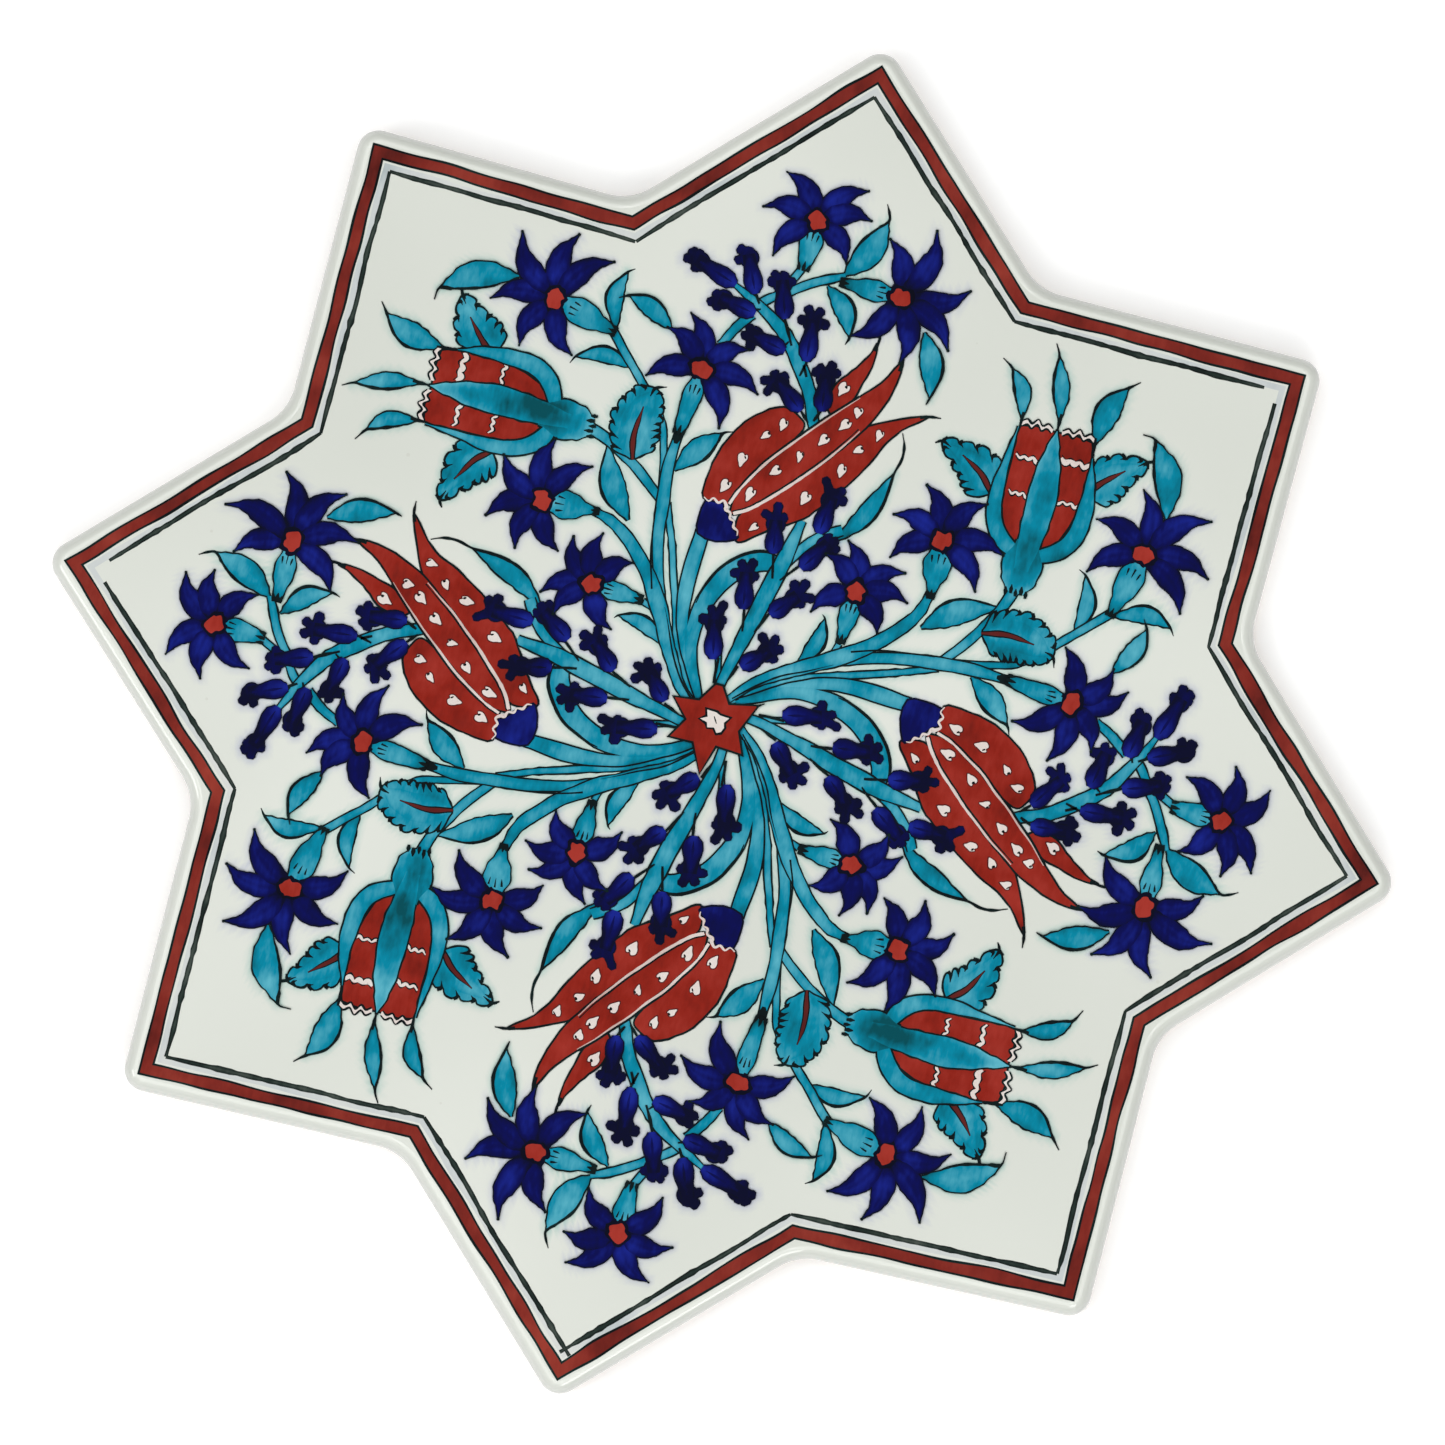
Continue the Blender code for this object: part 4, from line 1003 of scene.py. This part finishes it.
def paintFlower(flower):
    painting = Painting(petalLook["floor"])
    for leaf in flower["leaves"]:
        paintLeaf(painting, *leaf)
    centre = Vector(flower["centre"])
    petals = [petalOf(centre, radians(flower["heading"]), Vector(tip)) for tip in flower["tips"]]
    farEnd, wide, narrow = flower["calyx"]
    farEnd = Vector(farEnd)
    along = (centre - farEnd).normalized()
    out = leftOf(along)
    top = centre - along * 1.5
    goblet = (narrow, narrow * 0.75 + wide * 0.3, wide * 0.9, wide, wide * 0.62)
    painting.outlined((farEnd, farEnd.lerp(top, 0.5), top), goblet, "turquoise", 1.0, 0.28, steps=7,
                      columns=4, tone=0.45, tip=0.3, edge=0.15, root=0.35)
    for place in (-1, 0, 1):  # short dark folds at the calyx's mouth
        foot = farEnd.lerp(top, 0.72) + out * place * wide * 0.2
        end = foot + along * (1.4 if place == 0 else 1.1) + out * place * 0.15
        painting.line((foot, end), (0.2, 0.9, 1.0), 0.3)
    for route, width in petals:
        painting.ribbon(route, petalLook["swell"], "navy", width, 6, 1, tone=0.6, shake=0.3, grow=0.2)
        bend = (route[3] - route[2]).normalized()
        painting.line((route[2], route[3], route[3] + bend * 0.45), (0.2, 0.9, 1.0, 0.5), 0.42)
    for route, width in petals:
        painting.ribbon(route, petalLook["swell"], "cobalt", width, 6, 6, tone=0.22, tip=0.42, edge=0.42,
                        mid=0.14, root=0.9, shake=0.25, grow=-0.24)
    for place in (-1, 0, 1):  # dark ticks at the foot of the calyx
        step = out * place * narrow * 0.4
        end = farEnd + along * (1.0 if place == 0 else 0.7) + step * 1.2
        painting.line((farEnd - along * 0.45 + step, end), (0.9, 1.1, 0.2), 0.5)
    seed = centre.x * 0.37
    blob = []
    for step in range(14):
        angle = step * pi / 7
        reach = petalLook["blobRadius"] + 0.16 * sin(5 * angle + seed) + 0.14 * sin(2 * angle + 2 * seed)
        blob.append((centre.x + cos(angle) * reach * 1.1, centre.y + sin(angle) * reach))
    painting.patch(blob, "navy", 3, 0.8, grow=0.5, shake=0.5)
    painting.patch(blob, "coral", 3, 0.12, shake=0.35)
    return painting


# The star in the middle.

centreStar = {
    "floor": 0.36,
    "outline": ((-1.9, 5.2), (-0.8, 5.2), (0.7, 2.8), (4.9, 3.6), (3.0, -0.7), (4.3, -3.9), (0.3, -3.6),
                (-1.05, -8.0), (-3.1, -3.8), (-6.7, -3.8), (-4.9, -0.8), (-7.4, 2.0), (-3.7, 2.4)),
    "white": ((-2.2, 1.3), (-0.8, 1.2), (-0.2, 0.9), (1.2, 0.8), (0.6, 0.0), (0.8, -0.7), (0.5, -1.4),
              (-0.1, -1.7), (-0.6, -1.0), (-1.6, -1.2), (-1.8, -0.5), (-2.9, -0.2), (-1.9, 0.3)),
}


def paintCentre():
    painting = Painting(centreStar["floor"])
    painting.patch(centreStar["outline"], "ink", 1, 0.4, grow=0.2)
    painting.patch(centreStar["outline"], "coral", 1, 0.5, grow=-0.14)
    painting.line(((4.6, 3.4), (5.7, 4.1)), (1.0, 0.3), 0.4)
    painting.patch(centreStar["white"], "ink", 1, 0.5, grow=0.3, shake=0.2)
    painting.patch(centreStar["white"], "slip", 1, 0.3)
    painting.line(((-1.0, 0.6), (-0.4, -0.4)), (0.6, 1.0, 0.5), 0.22)
    layMotif(painting, "coral_red", lambda quarter: "centre_star", (0,))


# The border: wash, red band with its contours, and the brushed black line.

def borderLoop(inset, wanders, perSide=36):  # wanders holds a seed and an amount for each
    corners = insetCorners(starCorners, inset)
    points = []
    for index, corner in enumerate(corners):
        following = corners[(index + 1) % len(corners)]
        along = (following - corner).normalized()
        inward = leftOf(along)
        for step in range(perSide):
            t = step / perSide
            point = corner.lerp(following, t)
            stray = sum(unsteady(point, seed, amount, 0.13) for seed, amount in wanders)
            points.append(point + inward * stray * min(1, 8 * t, 8 * (1 - t)))
    return points


def paintRing(painting, paint, tone, outerEdge, innerEdge):  # each edge: its inset and its wanders
    outer = wireLoop(painting.bm, borderLoop(*outerEdge), 0.0)
    inner = wireLoop(painting.bm, borderLoop(*innerEdge), 0.0)
    ring = bmesh.ops.bridge_loops(painting.bm, edges=outer + inner)["faces"]
    for face in ring:
        for vert in face.verts:
            flat = Vector((vert.co.x, vert.co.y))
            vert[painting.tone] = tone + unsteady(flat, 7.0, 0.5, 0.1)
    painting.thicken(ring, paint)


def paintBorder():
    outside, inside = border["bandInset"], border["bandInset"] + border["bandWidth"]
    outsideWander, insideWander = border["outsideWander"], border["insideWander"]
    tuck, contour = 0.07, border["contourWidth"]

    wash = Painting(0.004)
    washInset = border["washInset"]
    paintRing(wash, "wash", 0.35, (washInset, ((2.0, 0.3),)),
              (washInset + border["washWidth"], ((9.0, 0.1),)))
    addPiece(wash.finish("grey_wash"), "grey_wash", "white_glaze")

    red = Painting(0.02)
    paintRing(red, "brick", 0.5, (outside, (outsideWander,)), (inside, (insideWander,)))
    addPiece(red.finish("red_band"), "red_band", "coral_red", "red_border_band")

    contours = Painting(0.03)
    paintRing(contours, "ink", 0.4, (outside - contour, (outsideWander, (21.0, 0.12))),
              (outside + tuck, (outsideWander,)))
    paintRing(contours, "ink", 0.4, (inside - tuck, (insideWander,)),
              (inside + contour, (insideWander, (18.0, 0.16))))
    addPiece(contours.finish("band_contours"), "band_contours", "green_black",
             "band_contour_outer", "band_contour_inner")

    black = Painting(0.03)
    corners = insetCorners(starCorners, border["lineInset"])
    for index, corner in black.sideBySide(enumerate(corners)):
        following = corners[(index + 1) % len(corners)]
        begin, end = border["lineEnds"].get(index, (0.0, 0.0))
        along = (following - corner).normalized()
        route = [(corner + along * begin).lerp(following - along * end, step / 10) for step in range(11)]
        route = [point + leftOf(along) * unsteady(point, 6.0, 0.25, 0.12) for point in route]
        black.ribbon(route, border["lineSwell"], "brushBlack", border["lineWidth"], 4, 2, tone=0.36, edge=0.4,
                     shake=0.5)
    addPiece(black.finish("frame_line"), "frame_line", "green_black", "inner_black_line")


# Clay and glaze.

def buildClay():
    bm = bmesh.new()
    inset = body["glazeThickness"] + body["glazeGap"]
    rings = [(roundedOutline(inset + body["footChamfer"]), 0.0)]
    rings += rolledRings(inset, clayTop, body["footChamfer"])
    loops = bridged(bm, rings)
    for loop in (loops[0], loops[-1]):
        bmesh.ops.triangle_fill(bm, edges=loop, use_beauty=True)
    for face in bm.faces:
        face.smooth = True
    mesh = meshFrom(bm, "clay_star", [clayMaterial], body["sharpAngle"])
    addPiece(mesh, "clay_star", "bisque_clay", "bisque_body")


def buildGlaze():
    bm = bmesh.new()
    layers = {name: bm.verts.layers.float.new(name) for name in ("cobaltBleed", "copperBleed", "edge")}
    inner = rolledRings(body["glazeThickness"], clayTop + body["glazeGap"], glazeFoot)
    outer = rolledRings(0.0, glazeTop, glazeFoot)
    innerLoops = bridged(bm, inner)
    outerLoops = bridged(bm, outer)
    bmesh.ops.triangle_fill(bm, edges=innerLoops[0] + outerLoops[0], use_beauty=True)
    bmesh.ops.triangle_fill(bm, edges=innerLoops[-1], use_beauty=True)
    edge = roundedOutline(body["edgeRound"])
    grid = bmesh.ops.create_grid(bm, x_segments=len(edge), y_segments=body["faceRings"], size=1.0)
    for vert in grid["verts"]:  # wrapped round the middle, from a small hub out to the rolled edge
        around = round((vert.co.x + 1) / 2 * len(edge)) % len(edge)
        outwards = (vert.co.y + 1) / 2
        flat = edge[around] * (body["hubShare"] + (1 - body["hubShare"]) * outwards)
        vert.co = (flat.x, flat.y, glazeTop)
    bmesh.ops.remove_doubles(bm, verts=bm.verts, dist=0.002)
    hub = [item for item in bm.edges if item.is_boundary]
    bmesh.ops.triangle_fill(bm, edges=hub, use_beauty=True)
    trees = {}
    for paint, groups in bleedPoints.items():
        points = np.concatenate(groups)
        trees[paint] = kdtree.KDTree(len(points))
        for index, (x, y) in enumerate(points):
            trees[paint].insert((x, y, 0), index)
        trees[paint].balance()
    for vert in bm.verts:
        flat = Vector((vert.co.x, vert.co.y, 0))
        # painted shade on the rolled rim: 0 on the flat face, rising to 1 where the glaze lies 1.2 mm below
        # it
        vert[layers["edge"]] = min(1.0, max(0.0, (glazeTop - vert.co.z) / 1.2))
        if vert.co.z > glazeTop - 0.01:
            for paint, layer in (("cobalt", "cobaltBleed"), ("turquoise", "copperBleed")):
                distance = trees[paint].find(flat)[2]
                vert[layers[layer]] = bleed[paint] * max(0.0, 1 - distance / bleed["reach"]) ** 1.5
    for face in bm.faces:
        face.smooth = True
    mesh = meshFrom(bm, "glaze_skin", [glazeMaterial], body["sharpAngle"])
    addPiece(mesh, "glaze_skin", "white_glaze", "glaze_coat")


bleed = {"cobalt": 0.4, "turquoise": 0.65, "reach": 1.3}

paintVine()
paintTulip()
paintRosebud()
paintSpray(outerSpray, lambda quarter: f"outer_spray_{quarter + 1}")
paintSpray(innerSpray, lambda quarter: f"inner_spray_{quarter + 1}")
for number, flower in enumerate(flowers):
    layMotif(paintFlower(flower), "cobalt_blue",
             lambda quarter, number=number: f"star_flower_{quarter * 6 + number + 1:02d}")
paintCentre()
print("motifs painted")
paintBorder()
print("border painted")
buildClay()
buildGlaze()
print("clay and glaze built")


# Floor, light and camera.

stage = {"floorSize": 6.0, "floorColour": (0.98, 0.98, 0.98, 1.0), "floorGlow": 0.2, "worldStrength": 0.08}
# softboxes stand all round and none overhead, so that the glaze mirrors none of them from above
ring = {"count": 8, "radius": 1.45, "height": 2.25, "size": 1.2, "power": 8.7}
rimLamps = (  # name, place, size across and along, power
    ("rimSoftboxRight", (0.66, -1.10, 0.95), (0.6, 0.45), 4.6),
    ("rimSoftboxLeft", (-1.10, -0.66, 0.95), (0.6, 0.45), 4.4),
)
cameraLook = {"distance": 1.7, "faceWidth": 0.20927, "sensor": 36.0, "roll": 13.82, "tilt": 2.6,
              "tiltHeading": -55.0, "aimShift": (0.377, -0.087)}


def buildStage():
    bm = bmesh.new()
    bmesh.ops.create_grid(bm, x_segments=1, y_segments=1, size=stage["floorSize"] / 2)
    bmesh.ops.translate(bm, verts=bm.verts, vec=(0, 0, -0.0001))
    mesh = bpy.data.meshes.new("floor")
    bm.to_mesh(mesh)
    bm.free()
    floor = bpy.data.objects.new("floor", mesh)
    bpy.context.scene.collection.objects.link(floor)
    material = bpy.data.materials.new("paleFloor")
    material.use_nodes = True
    shader = material.node_tree.nodes["Principled BSDF"]
    shader.inputs["Base Color"].default_value = stage["floorColour"]
    shader.inputs["Roughness"].default_value = 0.9
    shader.inputs["Specular IOR Level"].default_value = 0.0
    shader.inputs["Emission Color"].default_value = (1, 1, 1, 1)
    shader.inputs["Emission Strength"].default_value = stage["floorGlow"]
    mesh.materials.append(material)
    world = bpy.data.worlds.new("softWorld")
    world.use_nodes = True
    sky = world.node_tree.nodes["Background"].inputs
    sky["Color"].default_value = (1, 1, 1, 1)
    sky["Strength"].default_value = stage["worldStrength"]
    bpy.context.scene.world = world


def addLamp(name, place, size, power):
    light = bpy.data.lights.new(name, "AREA")
    light.shape = "RECTANGLE"
    light.size, light.size_y = size
    light.energy = power
    lamp = bpy.data.objects.new(name, light)
    aimed = Vector(place).normalized().to_track_quat("Z", "Y").to_matrix().to_4x4()
    lamp.matrix_world = Matrix.Translation(place) @ aimed
    bpy.context.scene.collection.objects.link(lamp)


def buildLamps():
    for index in range(ring["count"]):
        angle = 2 * pi * index / ring["count"]
        place = (cos(angle) * ring["radius"], sin(angle) * ring["radius"], ring["height"])
        addLamp(f"ringSoftbox{index + 1}", place, (ring["size"], ring["size"]), ring["power"])
    for lamp in rimLamps:
        addLamp(*lamp)


def buildCamera():
    roll, tilt, heading = (radians(cameraLook[key]) for key in ("roll", "tilt", "tiltHeading"))
    right = Vector((cos(roll), sin(roll), 0))
    up = Vector((-sin(roll), cos(roll), 0))
    shiftX, shiftY = cameraLook["aimShift"]
    aim = (right * shiftX + up * shiftY) * mm + Vector((0, 0, glazeTop * mm))
    lean = right * cos(heading) + up * sin(heading)
    back = (Vector((0, 0, 1)) * cos(tilt) + lean * sin(tilt)).normalized()
    cameraRight = (right - back * right.dot(back)).normalized()
    cameraUp = back.cross(cameraRight)
    place = aim + back * cameraLook["distance"]
    data = bpy.data.cameras.new("viewCamera")
    data.sensor_width = cameraLook["sensor"]
    data.lens = cameraLook["sensor"] * cameraLook["distance"] / cameraLook["faceWidth"]
    data.clip_start, data.clip_end = 0.05, 20.0
    camera = bpy.data.objects.new("viewCamera", data)
    turn = Matrix((cameraRight, cameraUp, back)).transposed()
    camera.matrix_world = Matrix.Translation(place) @ turn.to_4x4()
    bpy.context.scene.collection.objects.link(camera)
    bpy.context.scene.camera = camera


buildStage()
buildLamps()
buildCamera()
bpy.context.scene.view_settings.view_transform = "Standard"
print("stage set")
